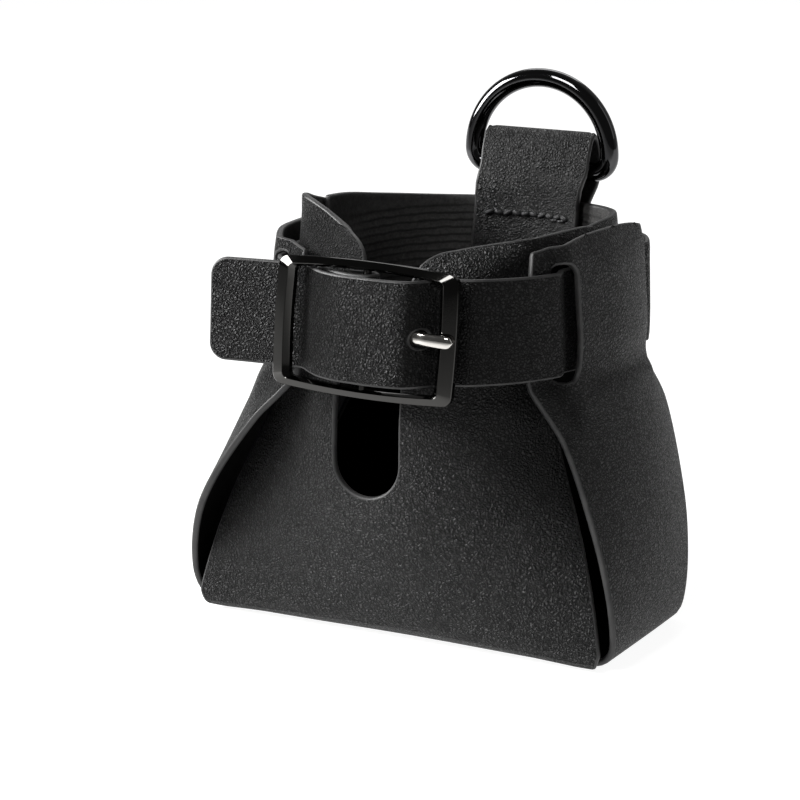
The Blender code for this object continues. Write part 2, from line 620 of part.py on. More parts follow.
def make_buckle(metal, bright):
    half = FRAME_THICKNESS / 2
    chamfer = 0.7 * MM
    side, long_bar = FRAME_SIDE_BAR, FRAME_LONG_BAR
    rings = [frame_ring(0, 0, FRAME_BOW, 1.6 * MM, half),
             frame_ring(0, 0, FRAME_BOW, 1.6 * MM, -half + chamfer),
             frame_ring(chamfer, 0.5 * chamfer, FRAME_BOW, 1.3 * MM, -half),
             frame_ring(side - chamfer, long_bar - 0.5 * chamfer, FRAME_BOW, 0.9 * MM, -half),
             frame_ring(side, long_bar, FRAME_BOW, 0.6 * MM, -half + chamfer),
             frame_ring(side, long_bar, FRAME_BOW, 0.6 * MM, half)]
    bm = bmesh.new()
    rows = [[bm.verts.new(p) for p in ring] for ring in rings]
    for ring, following in zip(rows, rows[1:] + rows[:1]):
        for k in range(len(ring)):
            j = (k + 1) % len(ring)
            bm.faces.new((ring[k], ring[j], following[j], following[k]))
    frame = add_mesh("buckle_frame", bm, metal, buckle_spot(FRAME_Y), buckle_turn())

    bar_half = FRAME_HALF_HEIGHT + FRAME_BOW - 0.6 * MM
    cutter = bmesh.new()
    bmesh.ops.create_cone(cutter, cap_ends=True, segments=16, radius1=BAR_RADIUS + GAP, radius2=BAR_RADIUS + GAP,
                          depth=2 * (bar_half + GAP))
    hole = add_mesh("bar_socket_cutter", cutter, metal, buckle_spot(BAR_Y), buckle_turn())
    hole.hide_render = True
    hole.display_type = "WIRE"
    cut = frame.modifiers.new("bar_sockets", "BOOLEAN")
    cut.operation = "DIFFERENCE"
    cut.solver = "EXACT"
    cut.object = hole

    bar = bmesh.new()
    bmesh.ops.create_cone(bar, cap_ends=True, segments=16, radius1=BAR_RADIUS, radius2=BAR_RADIUS,
                          depth=2 * bar_half)
    add_mesh("buckle_centre_bar", bar, metal, buckle_spot(BAR_Y), buckle_turn())

    eye = [Vector((PRONG_EYE_RADIUS * math.cos(a), PRONG_EYE_RADIUS * math.sin(a)))
           for a in (math.radians(40 + 230 * k / 12) for k in range(13))]
    shank = spline([(0.0, -PRONG_EYE_RADIUS), (4.0 * MM, -1.6 * MM), (9.0 * MM, -1.65 * MM),
                    (13.0 * MM, -2.15 * MM), (15.6 * MM, -2.28 * MM), (18.6 * MM, -2.28 * MM)], 4)
    run = eye + shank[1:]
    bm = bmesh.new()
    rows = []
    for k, spot in enumerate(run):
        ahead = run[min(k + 1, len(run) - 1)] - run[max(k - 1, 0)]
        normal = Vector((-ahead.y, ahead.x)).normalized()
        half_t, half_w = PRONG_THICKNESS / 2, PRONG_WIDTH / 2
        from_tip = (run[-1] - spot).length
        if k > len(eye) and from_tip < 2.0 * MM:
            half_w *= 0.55 + 0.45 * math.sqrt(max(0.0, 1 - (1 - from_tip / (2.0 * MM)) ** 2))
        section = []
        for u, w in ((-1, -0.6), (-0.6, -1), (0.6, -1), (1, -0.6), (1, 0.6), (0.6, 1), (-0.6, 1), (-1, 0.6)):
            at = spot + normal * half_t * w
            section.append(bm.verts.new((at.x, at.y, half_w * u)))
        rows.append(section)
    for ring, following in zip(rows, rows[1:]):
        for k in range(8):
            j = (k + 1) % 8
            bm.faces.new((ring[k], ring[j], following[j], following[k]))
    bm.faces.new(rows[0])
    bm.faces.new(list(reversed(rows[-1])))
    add_mesh("buckle_prong", bm, bright, buckle_spot(BAR_Y), buckle_turn())


# ---------------------------------------------------------------- ring and tab

def bend_tab(route):
    def bend(s, v):
        offset, z = route.at(v)
        radius = NECK_RADIUS + offset
        flat = smooth(TAB_HINGE_Z + 1.0 * MM, TAB_HINGE_Z + 6.0 * MM, z)
        round_x, round_y = radius * math.sin(s / radius), NECK_Y + radius * math.cos(s / radius)
        y = round_y * (1 - flat) + (NECK_Y + radius) * flat
        x = round_x * (1 - flat) + s * flat
        return place(x + NECK_SHEAR * (NECK_BACK - y) * flat, y, z)
    return bend


def tab_loop_route():
    rise = [(-LAYER, TAB_LOOP_LOW_Z), (-2.9 * MM, RING_Z - 2.8 * MM), (-3.2 * MM, RING_Z),
            (-2.9 * MM, RING_Z + 3.8 * MM), (-1.7 * MM, RING_Z + 6.6 * MM)]
    return Path(spline(rise + [(0.0, RING_Z + 7.4 * MM)] + [(-q, z) for q, z in reversed(rise)], 6))


def make_tab(hide, thread, metal):
    across = lines(-TAB_HALF_WIDTH, TAB_HALF_WIDTH, 4 * MM)
    for name, offset in (("tab_inner_layer", -LAYER), ("tab_outer_layer", LAYER)):
        route = Path([Vector((offset, TAB_LOW_Z)), Vector((offset, TAB_LAYER_TOP_Z))])
        loop = [(-TAB_HALF_WIDTH, 0), (TAB_HALF_WIDTH, 0), (TAB_HALF_WIDTH, route.length),
                (-TAB_HALF_WIDTH, route.length)]
        leather(name, hide, [loop], bend_tab(route), WALL_T, across, lines(0, route.length, WALL_STEP))
    hinge = Vector((NECK_SHIFT + NECK_SHEAR * NECK_BACK, NECK_BACK, TAB_HINGE_Z))
    route = tab_loop_route()
    loop = [(-TAB_HALF_WIDTH, 0), (TAB_HALF_WIDTH, 0), (TAB_HALF_WIDTH, route.length),
            (-TAB_HALF_WIDTH, route.length)]
    leather("tab_loop", hide, [loop], bend_tab(route), WALL_T, across, lines(0, route.length, 1.6 * MM),
            origin=hinge)

    inner = Path([Vector((-LAYER - WALL_T / 2 - THREAD_RADIUS, TAB_LOW_Z)),
                  Vector((-LAYER - WALL_T / 2 - THREAD_RADIUS, TAB_LAYER_TOP_Z))])
    on_tab = bend_tab(inner)
    run = []
    stitch = 2.1 * MM
    count = int(2 * (TAB_HALF_WIDTH - 1.4 * MM) / stitch)
    for k in range(4 * count + 1):
        s = -stitch * count / 2 + stitch * k / 4
        spot = on_tab(s, TAB_STITCH_Z - TAB_LOW_Z)
        lift = (0.32 + 0.2 * math.sin(math.pi * (k % 4) / 4)) * MM
        run.append(spot - Vector((0, lift, 0)))
    tube("tab_stitching", thread, run, THREAD_RADIUS)

    centre = hinge + Vector((0, 0, RING_Z - TAB_HINGE_Z))
    half, r = RING_HALF_WIDTH, RING_CORNER
    outline = [(half - r, 0.0)]
    outline += arc_loop((half - r, r), r, -math.pi / 2, 0, 5)[1:]
    outline += arc_loop((0.0, r), half, 0, math.pi, 22)[1:-1]
    outline += arc_loop((-half + r, r), r, math.pi, 1.5 * math.pi, 5)
    points = [centre + Vector((x, 0, z)) for x, z in outline]
    tube("d_ring", metal, points, RING_WIRE, closed=True, sides=3, origin=centre)


def main():
    for obj in list(bpy.data.objects):
        bpy.data.objects.remove(obj, do_unlink=True)
    hide = material("black_leather", (0.022, 0.022, 0.024), 0.52)
    thread = material("black_thread", (0.012, 0.012, 0.013), 0.7)
    metal = material("gunmetal", (0.09, 0.085, 0.085), 0.12, 1.0)
    bright = material("bright_steel", (0.55, 0.53, 0.52), 0.14, 1.0)
    ring_black = material("ring_black", (0.03, 0.03, 0.032), 0.12, 1.0)
    make_walls(hide)
    make_strap(hide, thread)
    make_buckle(metal, bright)
    make_tab(hide, thread, ring_black)


main()
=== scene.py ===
import math
import random

import bmesh
import bpy
import numpy as np
from mathutils import Matrix, Vector
from mathutils.geometry import delaunay_2d_cdt


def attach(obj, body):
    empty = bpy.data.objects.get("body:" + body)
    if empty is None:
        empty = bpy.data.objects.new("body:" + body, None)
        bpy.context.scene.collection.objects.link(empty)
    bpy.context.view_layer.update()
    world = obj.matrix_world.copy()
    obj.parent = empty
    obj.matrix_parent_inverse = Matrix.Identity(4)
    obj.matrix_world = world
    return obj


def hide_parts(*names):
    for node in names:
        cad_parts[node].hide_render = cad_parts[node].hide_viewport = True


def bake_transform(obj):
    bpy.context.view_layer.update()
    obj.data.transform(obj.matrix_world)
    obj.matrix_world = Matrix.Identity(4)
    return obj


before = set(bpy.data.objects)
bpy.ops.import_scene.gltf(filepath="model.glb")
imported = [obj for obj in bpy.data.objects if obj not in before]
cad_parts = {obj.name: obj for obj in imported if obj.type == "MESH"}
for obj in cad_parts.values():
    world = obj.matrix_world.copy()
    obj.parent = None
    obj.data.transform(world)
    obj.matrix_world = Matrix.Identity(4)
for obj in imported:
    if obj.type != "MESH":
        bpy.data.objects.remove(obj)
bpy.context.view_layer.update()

# Leather pieces are cut as flat outlines, bent into place and given rounded cut edges.
# Lengths are in metres; the object stands at the origin with its buckle facing -Y.

MM = 0.001
SEED = 4

# Leather
WALL_T = 1.4 * MM
STRAP_T = 1.3 * MM
LAYER = 1.8 * MM             # from the middle of one layer to the middle of the next
EDGE_R = 0.42 * MM           # rounding of the cut edges
OUTLINE_STEP = 1.5 * MM      # longest straight stretch of an outline
CLEAR_OF_EDGE = 0.75 * MM    # no inner mesh point lies nearer to an outline
CORNER_R = 0.7 * MM

# Blank: flat floor and the four walls that fold up from it
BASE_HALF_WIDTH = 44.0 * MM
FLAT_HALF_WIDTH = 38.8 * MM
FLAT_HALF_DEPTH = 15.9 * MM
PANEL_EDGE_AT_NECK = 35.2 * MM
PANEL_EDGE_TOP_Z = 51.7 * MM
FLOOR_Z = WALL_T / 2
FLOOR_ARCH = 1.1 * MM        # the front and back folds rise a little in the middle

# Drawn-in neck
NECK_RADIUS = 29.9 * MM
NECK_Y = 6.4 * MM
NECK_START_Z = 53.0 * MM
NECK_SHEAR = 0.085
NECK_SHIFT = 1.3 * MM
STRAP_Z = 63.2 * MM
STRAP_WIDTH = 20.0 * MM
STRAP_LEAN = 0.105
STRAP_LIFT = 0.8 * MM
RIM_LEAN_Z = 70.7 * MM
RIM_LEAN = 75.0
RIM_NARROWS = 36.0
SQUEEZE = 3.4 * MM
SQUEEZE_FADE = (math.radians(32.0), math.radians(85.0))
LEAN_FADE = (math.radians(25.0), math.radians(75.0))

# Rims: heights along each wall's free edge, as (distance from the middle, height)
FRONT_RIM_RIGHT = [(16, 78.2), (20, 78.8), (26, 79.5), (36, 80.2), (46, 80.2), (50, 79.8)]
FRONT_RIM_LEFT = [(12, 80.1), (16, 81.4), (20, 82.6), (27, 83.8), (36, 83.8), (43, 82.2), (50, 80.4)]
BACK_RIM_LEFT = [(10, 78.6), (22, 79.0), (34, 80.2), (44, 81.6), (52, 82.2)]
BACK_RIM_RIGHT = [(10, 78.8), (26, 79.4), (40, 79.6), (52, 79.2)]
SIDE_RIM_RIGHT = [(-24.5, 77.7), (-18, 78.4), (-10, 79.4), (0, 79.6), (10, 78.9), (18, 77.2), (24.5, 75.0)]
SIDE_RIM_LEFT = [(-24.5, 75.6), (-16, 76.4), (-6, 77.3), (6, 77.3), (24.5, 77.3)]
WING_FLARE_RIGHT = 2.4 * MM  # the wings open towards the side walls above the strap
WING_FLARE_LEFT = 1.2 * MM
FLARE_Z = (70.0 * MM, 79.0 * MM)
SIDE_LEAN = 0.10             # the right of the neck narrows upwards
WING_LOW_Z = 54.7 * MM
FRONT_WING_END = 50.0 * MM
BACK_WING_END = 52.0 * MM

# U-notch in the front
NOTCH_HALF_WIDTH = 7.0 * MM
NOTCH_S = -1.2 * MM
NOTCH_BOTTOM_Z = 30.1 * MM
NOTCH_BAND_Z = 56.0 * MM
MOUTH_LEFT = [(-9.0, 79.0), (-6.2, 77.9), (-3.9, 76.0), (-2.7, 73.0), (-3.3, 68.0)]
MOUTH_RIGHT = [(13.5, 77.7), (10.4, 77.0), (8.0, 75.2), (6.9, 72.4), (6.6, 68.0)]

# Side walls and their strap slots
SIDE_RADIUS = 35.35 * MM
SIDE_HALF_AT_BASE = 18.5 * MM
SIDE_REAR_AT_BASE = 15.6 * MM
SIDE_HALF_AT_NECK = 24.5 * MM
LEFT_REAR_EDGE = [(32.0, 48.5), (37.5, 42), (35.0, 30)]  # the left side wall bulges at its rear
SLOT_S = 15.8 * MM
SLOT_WIDTH = 3.6 * MM
SLOT_LENGTH = 22.6 * MM
MAIN_SLOT_S = 16.9 * MM      # the slot beside the buckle is cut wider
MAIN_SLOT_WIDTH = 5.0 * MM
MAIN_CROSSING_S = 17.6 * MM
CROSSING = 1.15 * MM
CROSSING_LENGTH = 4.1 * MM
LEFT_TWIST = math.radians(-19.0)
RIGHT_TWIST = math.radians(3.0)

# Buckle
FRAME_HALF_WIDTH = 19.0 * MM
FRAME_HALF_HEIGHT = 12.2 * MM
FRAME_SIDE_BAR = 3.6 * MM
FRAME_LONG_BAR = 1.8 * MM
FRAME_THICKNESS = 2.4 * MM
FRAME_BOW = 0.8 * MM
# Section of the frame: share of the bar's width from its outer side, corner radius, depth from the
# middle. A wide bevel climbs from the outer side to a ridge, and a steep one drops to the opening.
FRAME_SECTION = ((0.08, 1.7, 1.0), (0.0, 1.8, 0.78), (0.0, 1.8, -0.15), (0.035, 1.8, -0.27),
                 (0.64, 1.2, -0.95), (0.69, 1.1, -1.0), (0.74, 1.0, -0.95), (0.96, 0.8, -0.35),
                 (1.0, 0.7, -0.2), (1.0, 0.7, 0.78), (0.93, 0.8, 1.0))
FRAME_Y = -28.8 * MM
BAR_Y = -28.6 * MM
CHAPE_RADIUS = 1.8 * MM
PRONG_EYE_RADIUS = 1.6 * MM
PRONG_EMERGES_X = 12.1 * MM
PRONG_HOLE = (3.8 * MM, 3.4 * MM)
PRONG_HALF_WIDTH = 1.25 * MM
PRONG_TIP = 1.5 * MM
CHAPE_START = 5.6 * MM       # leather behind the bar, before the wrap
CHAPE_EYE = (11.5 * MM, 4.4 * MM)
TONGUE_CORNER = 3.6 * MM
TONGUE_ROOT = 4.5 * MM       # a point this far along the tongue is worked out, but not used
BUCKLE_TILT = math.radians(0.9)
BUCKLE_LIFT = 0.2 * MM

# Ring and tab
TAB_HALF_WIDTH = 12.0 * MM
TAB_LOW_Z = 59.7 * MM
TAB_HINGE_Z = 78.7 * MM
TAB_STITCH_Z = 75.6 * MM
TAB_STITCHES = 10
TAB_STITCH_PITCH = 1.9 * MM
CHAPE_STITCHES = 7
CHAPE_STITCH_PITCH = 2.2 * MM
TAB_SKEW = 0.11              # the tab is sewn on a little askew
RING_Z = 84.9 * MM
RING_HALF_WIDTH = 15.1 * MM
RING_CORNER = 3.3 * MM
RING_WIRE = 1.9 * MM

# Inner ribs of the back wall
RIB_PITCH_MM = 1.55
RIB_PITCH = RIB_PITCH_MM * MM
RIB_DEPTH = 0.32 * MM
RIB_LOW_Z = 58.0 * MM
RIB_HIGH_Z = 77.5 * MM

# Camera and lights
CAMERA_AZIMUTH = math.radians(28.0)
CAMERA_ELEVATION = math.radians(14.2)
CAMERA_SPOT = Vector((0.24639, -0.48015, 0.18014))
CAMERA_LENS = 127.0
LIGHTS_AIM = Vector((0.0, 0.0, 0.05))
LIGHTS = (                   # name, azimuth and elevation in degrees, distance, size, power
    ("key", -68, 26, 0.36, (0.16, 0.18), 2.9),
    ("side", 112, 30, 0.9, (0.25, 0.6), 0.3),
    ("top", -8, 46, 0.9, (0.3, 0.3), 5.0),
    ("rear", 200, 40, 1.0, (0.6, 0.4), 2.0))


# ---- shape helpers

def smooth(low, high, value):
    t = min(1.0, max(0.0, (value - low) / (high - low)))
    return t * t * (3.0 - 2.0 * t)


def in_mm(points):
    return [(a * MM, b * MM) for a, b in points]


def spline(points, steps=12):
    """Catmull-Rom curve through given points, as a dense list of points."""
    rail = [2 * Vector(points[0]) - Vector(points[1])]
    rail += [Vector(p) for p in points]
    rail += [2 * Vector(points[-1]) - Vector(points[-2])]
    curve = []
    for a, b, c, d in zip(rail, rail[1:], rail[2:], rail[3:]):
        for k in range(steps):
            t = k / steps
            curve.append(0.5 * (2 * b + (c - a) * t + (2 * a - 5 * b + 4 * c - d) * t * t
                                + (3 * b - a - 3 * c + d) * t ** 3))
    curve.append(Vector(points[-1]))
    return curve


class Path:
    """A dense 2-D curve read by its own length."""

    def __init__(self, points):
        self.points = points
        self.lengths = [0.0]
        for a, b in zip(points, points[1:]):
            self.lengths.append(self.lengths[-1] + (b - a).length)
        self.length = self.lengths[-1]

    def at(self, distance):
        low, high = 0, len(self.lengths) - 2
        while low < high:
            mid = (low + high + 1) // 2
            if self.lengths[mid] <= distance:
                low = mid
            else:
                high = mid - 1
        span = self.lengths[low + 1] - self.lengths[low]
        return self.points[low].lerp(self.points[low + 1], (distance - self.lengths[low]) / span)

    def clamped(self, distance):
        return self.at(max(0.0, min(distance, self.length - 1e-6)))

    def where(self, test):
        """Length at the first point that passes the test."""
        return next(d for p, d in zip(self.points, self.lengths) if test(p))


def place(x, y, z, strap=False, wing=False):
    """Turn the round, upright neck into the real one: narrower, skewed, its front leant back."""
    direction = math.atan2(abs(x), NECK_Y - y)
    to_side = smooth(*SQUEEZE_FADE, min(direction, math.pi - direction))
    if x > 0.0:
        narrow = SQUEEZE * smooth(20 * MM, NECK_START_Z, z)
        narrow += SIDE_LEAN * (min(z, RIM_LEAN_Z) - STRAP_Z) * smooth(NECK_START_Z, STRAP_Z, z)
        if not strap:
            narrow += RIM_NARROWS * max(0.0, z - RIM_LEAN_Z) ** 2
        if wing:
            narrow -= WING_FLARE_RIGHT * smooth(*FLARE_Z, z)
    else:
        narrow = SQUEEZE * smooth(46 * MM, 60 * MM, z)
        if wing:
            narrow -= WING_FLARE_LEFT * smooth(*FLARE_Z, z)
    if strap or z > WING_LOW_Z:
        lean = STRAP_LEAN * (z - STRAP_Z)
    else:
        lean = STRAP_LEAN * (WING_LOW_Z - STRAP_Z) * smooth(36 * MM, WING_LOW_Z, z)
    if not strap:
        lean += RIM_LEAN * min(9.0 * MM, max(0.0, z - RIM_LEAN_Z)) ** 2
    lean *= 1.0 - smooth(*LEAN_FADE, direction)
    skew = NECK_SHEAR * smooth(5 * MM, 50 * MM, z) * y + NECK_SHIFT * smooth(20 * MM, 50 * MM, z)
    return Vector((x - math.copysign(narrow * to_side, x) + skew, y + lean, z))


def lines(low, high, step):
    count = max(1, round((high - low) / step))
    return [low + (high - low) * k / count for k in range(count + 1)]


def arc_loop(centre, radius, start, end, count):
    return [(centre[0] + radius * math.cos(start + (end - start) * k / count),
             centre[1] + radius * math.sin(start + (end - start) * k / count)) for k in range(count + 1)]


def slot_loop(s, v, width, height, count=8):
    """Upright slot with round ends."""
    r = width / 2
    top = arc_loop((s, v + height / 2 - r), r, 0, math.pi, count)
    low = arc_loop((s, v - height / 2 + r), r, math.pi, 2 * math.pi, count)
    return top + low


def long_hole(s, v, width, height, count=8):
    """Lying slot with round ends."""
    r = height / 2
    right = arc_loop((s + width / 2 - r, v), r, -math.pi / 2, math.pi / 2, count)
    left = arc_loop((s - width / 2 + r, v), r, math.pi / 2, 3 * math.pi / 2, count)
    return right + left


def round_corners(loop, radius, sharpest=math.radians(25), count=4):
    """Round the corners of an outline that turn by more than a little."""
    result = []
    for before, at, after in zip(loop[-1:] + loop[:-1], loop, loop[1:] + loop[:1]):
        a, b, c = Vector(before), Vector(at), Vector(after)
        u, w = (a - b), (c - b)
        turn = math.pi - u.angle(w)
        if turn < sharpest:
            result.append(tuple(b))
            continue
        reach = min(radius, 0.4 * u.length, 0.4 * w.length)
        start, end = b + u.normalized() * reach, b + w.normalized() * reach
        for k in range(count + 1):
            t = k / count
            result.append(tuple(start.lerp(b, t).lerp(b.lerp(end, t), t)))
    return result


def dense(loop, step):
    """Add points so that no stretch of an outline is longer than step."""
    result = []
    for a, b in zip(loop, loop[1:] + loop[:1]):
        length = math.dist(a, b)
        if length < 1e-7:
            continue
        count = max(1, math.ceil(length / step - 1e-6))
        result += [(a[0] + (b[0] - a[0]) * k / count, a[1] + (b[1] - a[1]) * k / count)
                   for k in range(count)]
    return result


def inside_many(points, loop):
    hit = np.zeros(len(points), bool)
    x, y = points[:, 0], points[:, 1]
    for (ax, ay), (bx, by) in zip(loop, loop[1:] + loop[:1]):
        if ay == by:
            continue
        crosses = (ay > y) != (by > y)
        hit ^= crosses & (x < ax + (y - ay) * (bx - ax) / (by - ay))
    return hit


def border_distance(points, loop):
    best = np.full(len(points), 1.0)
    for a, b in zip(loop, loop[1:] + loop[:1]):
        a, b = np.array(a), np.array(b)
        t = np.clip((points - a) @ (b - a) / ((b - a) @ (b - a)), 0, 1)
        best = np.minimum(best, np.linalg.norm(points - a - t[:, None] * (b - a), axis=1))
    return best


def grid(low, high, step_s, step_v):
    """Staggered rows of points over a rectangle of the flat leather."""
    rows = []
    for k, v in enumerate(lines(low[1], high[1], step_v)):
        s = np.array(lines(low[0], high[0], step_s)) + (0.5 * step_s if k % 2 else 0.0)
        rows.append(np.stack([s, np.full(len(s), v)], axis=1))
    return np.concatenate(rows)


def no_relief(s, v, side):
    return 0.0


def cut_flat(loops, points):
    """Mesh an outline with holes, by way of the given inner points: its points and triangles."""
    keep = inside_many(points, loops[0])
    for hole in loops[1:]:
        keep &= ~inside_many(points, hole)
    for loop in loops:
        keep &= border_distance(points, loop) > CLEAR_OF_EDGE
    corners = [p for loop in loops for p in loop]
    edges = []
    start = 0
    for loop in loops:
        edges += [(start + k, start + (k + 1) % len(loop)) for k in range(len(loop))]
        start += len(loop)
    flat = [Vector(p) for p in corners] + [Vector(p) for p in points[keep]]
    flat, _, triangles, _, _, _ = delaunay_2d_cdt(flat, edges, [], 0, 1e-7)
    centres = np.array([sum((flat[k] for k in tri), Vector((0, 0))) / 3 for tri in triangles])
    real = inside_many(centres, loops[0])
    for hole in loops[1:]:
        real &= ~inside_many(centres, hole)
    return flat, [tri for tri, good in zip(triangles, real) if good]


def find_border(flat, triangles):
    """The border's edges, from start to end, and the outward direction at each of its points."""
    sides = {(a, b) for tri in triangles for a, b in zip(tri, tri[1:] + tri[:1])}
    border = {a: b for a, b in sorted(sides) if (b, a) not in sides}
    out = {k: Vector((0, 0)) for k in border}
    for a, b in border.items():
        along = (flat[b] - flat[a]).normalized()
        for k in (a, b):
            out[k] += Vector((along.y, -along.x))
    for k in out:
        out[k].normalize()
    return border, out


def leather(name, loops, bend, thickness, points, finishes, relief=no_relief, flip=False):
    """Cut flat leather, bend it, and give it thickness and rounded cut edges."""
    flat, kept = cut_flat([dense(loop, OUTLINE_STEP) for loop in loops], points)
    border, out = find_border(flat, kept)
    nudge = 0.05 * MM
    sign = -1.0 if flip else 1.0

    def spot(s, v, height):
        normal = (bend(s + nudge, v) - bend(s - nudge, v)).cross(bend(s, v + nudge) - bend(s, v - nudge))
        normal.normalize()
        side = 1 if height > 0 else -1
        lift = relief(s, v, side) * min(1.0, abs(height) / (thickness / 2))
        return bend(s, v) + normal * sign * (height + side * lift)

    bm = bmesh.new()
    half = thickness / 2
    faces = []
    rings = {}
    for side in (1, -1):
        verts = {}
        for k in {k for tri in kept for k in tri}:
            p = flat[k] - out[k] * EDGE_R if k in out else flat[k]
            verts[k] = bm.verts.new(spot(p.x, p.y, side * half))
        rings[side] = verts
        for tri in kept:
            ordered = tri if (side > 0) != flip else list(reversed(tri))
            faces.append((bm.faces.new([verts[k] for k in ordered]), 0 if side > 0 else 1))
    steps = [(math.radians(a), 1) for a in (45, 90)] + [(math.radians(a), -1) for a in (90, 45)]
    levels = [{k: rings[1][k] for k in out}]
    for angle, side in steps:
        level = {}
        for k, n in out.items():
            p = flat[k] - n * EDGE_R * (1 - math.sin(angle))
            level[k] = bm.verts.new(spot(p.x, p.y, side * (half - EDGE_R + EDGE_R * math.cos(angle))))
        levels.append(level)
    levels.append({k: rings[-1][k] for k in out})
    for upper, lower in zip(levels, levels[1:]):
        for a, b in border.items():
            quad = (upper[a], lower[a], lower[b], upper[b])
            faces.append((bm.faces.new(quad if not flip else quad[::-1]), 2))
    for face, index in faces:
        face.material_index = index
        face.smooth = True
    mesh = bpy.data.meshes.new(name)
    bm.to_mesh(mesh)
    bm.free()
    obj = bpy.data.objects.new(name, mesh)
    for finish in finishes:
        mesh.materials.append(finish)
    bpy.context.scene.collection.objects.link(obj)
    return obj


def join_rings(bm, rings, closed):
    """Faces between neighbouring rings; an open run is capped, a closed one meets its start."""
    for ring, following in zip(rings, rings[1:] + rings[:1] if closed else rings[1:]):
        for k in range(len(ring)):
            j = (k + 1) % len(ring)
            bm.faces.new((ring[k], ring[j], following[j], following[k]))
    if not closed:
        bm.faces.new(rings[0])
        bm.faces.new(list(reversed(rings[-1])))


def circle(bm, centre, u, w, radius, sides):
    """Round section across a wire or a thread, as new mesh points."""
    angles = [math.tau * n / sides for n in range(sides)]
    return [bm.verts.new(centre + (u * math.cos(a) + w * math.sin(a)) * radius) for a in angles]


def smooth_object(name, bm, finish):
    bmesh.ops.recalc_face_normals(bm, faces=bm.faces)
    for face in bm.faces:
        face.smooth = True
    mesh = bpy.data.meshes.new(name)
    bm.to_mesh(mesh)
    bm.free()
    mesh.materials.append(finish)
    obj = bpy.data.objects.new(name, mesh)
    bpy.context.scene.collection.objects.link(obj)
    return obj


# ---- pouch walls

NECK_FRONT = NECK_RADIUS + LAYER - NECK_Y
NECK_BACK = NECK_RADIUS + NECK_Y


def wall_profile(fold, swell, neck, neck_heights):
    """A wall seen from its edge: (distance out, height) from its fold, past its swell, up the neck."""
    return Path(spline([(fold, FLOOR_Z)] + in_mm(swell) + [(neck, z * MM) for z in neck_heights]))


FRONT_PROFILE = wall_profile(
    FLAT_HALF_DEPTH, [(18.2, 0.8), (20.2, 2.8), (22.2, 10.2), (24.6, 20.5), (26.4, 32.6), (26.4, 43.7)],
    NECK_FRONT, (53, 62, 73, 86))
BACK_PROFILE = wall_profile(
    FLAT_HALF_DEPTH, [(18.1, 0.8), (20.5, 3.2), (23.6, 10.6), (28.2, 21), (32.6, 32.4), (35.3, 43.5)],
    NECK_BACK, (53, 62, 73, 86))
SIDE_PROFILE = wall_profile(
    FLAT_HALF_WIDTH, [(42.2, 0.9), (45.5, 3.8), (46.6, 10.6), (45.8, 20.4), (43.3, 31.6), (40.3, 41.6),
                      (37.0, 49.0)],
    SIDE_RADIUS, (52.6, 60, 73, 86))


def roundness(z):
    t = min(1.0, max(0.0, (z - FLOOR_Z) / (NECK_START_Z - FLOOR_Z)))
    return 0.6 * t + 0.4 * smooth(0.0, 1.0, t)


def arc_point(centre, facing, curvature, s):
    """Point at s along an arc that faces a given direction at s = 0."""
    normal = Vector((math.cos(facing), math.sin(facing)))
    tangent = Vector((-normal.y, normal.x))
    if curvature < 1e-6:
        return centre + tangent * s
    angle = curvature * s
    return centre + tangent * (math.sin(angle) / curvature) - normal * ((1 - math.cos(angle)) / curvature)


def fold_arch(s, z):
    """How far the fold at the floor rises near the middle of a long side."""
    return FLOOR_ARCH * max(0.0, 1.0 - (s / FLAT_HALF_WIDTH) ** 2) * (1.0 - smooth(0.5 * MM, 9 * MM, z))


def bend_end(side, profile, radius, s, v):
    """The front (side -1) or back (side 1) wall, curving into the neck as it rises."""
    q, z = profile.at(v)
    spot = arc_point(Vector((0, side * q)), side * math.pi / 2, roundness(z) / radius, s)
    return place(spot.x, spot.y, z + fold_arch(s, z) * smooth(0.0, 3 * MM, v), wing=True)


def crossing(side, s):
    """+1 between the slots, -1 in the two margins outside them."""
    if side > 0 and s < 0:
        return 1.0 - 2.0 * smooth(MAIN_CROSSING_S - 1.5 * MM, MAIN_CROSSING_S + 1.5 * MM, -s)
    return 1.0 - 2.0 * smooth(SLOT_S - CROSSING_LENGTH / 2, SLOT_S + CROSSING_LENGTH / 2, abs(s))


def bend_side(side, twist, s, v):
    q, z = SIDE_PROFILE.at(v)
    rise = smooth(8 * MM, NECK_START_Z, z)
    facing = twist * rise
    q += CROSSING * crossing(side, s) * smooth(42 * MM, 51 * MM, z)
    centre = Vector((q * math.cos(facing), NECK_Y * rise + q * math.sin(facing)))
    spot = arc_point(centre, facing, roundness(z) / SIDE_RADIUS, s)
    return place(side * spot.x, spot.y, z)


def bend_blank(x, y):
    """Fold the flat blank: floor in the middle, a wall along each of its four sides."""
    past_side = abs(x) - FLAT_HALF_WIDTH
    past_end = abs(y) - FLAT_HALF_DEPTH
    if past_end > 0.62 * max(0.0, past_side) - (0.9 * MM if past_side > 0 else 0.0):
        if past_end <= 0.0:
            return Vector((x, y, FLOOR_Z))
        if y < 0:
            return bend_end(-1, FRONT_PROFILE, NECK_RADIUS + LAYER, x, past_end)
        return bend_end(1, BACK_PROFILE, NECK_RADIUS, -x, past_end)
    if past_side <= 0.0:
        return Vector((x, y, FLOOR_Z))
    if x > 0:
        return bend_side(1, RIGHT_TWIST, y, past_side)
    return bend_side(-1, LEFT_TWIST, y, past_side)


def rim_v(profile, z):
    """Length along a wall's profile at which it reaches a height."""
    for a, b, low, high in zip(profile.points, profile.points[1:], profile.lengths, profile.lengths[1:]):
        if b.y >= z > a.y:
            return low + (high - low) * (z - a.y) / (b.y - a.y)
    return profile.length


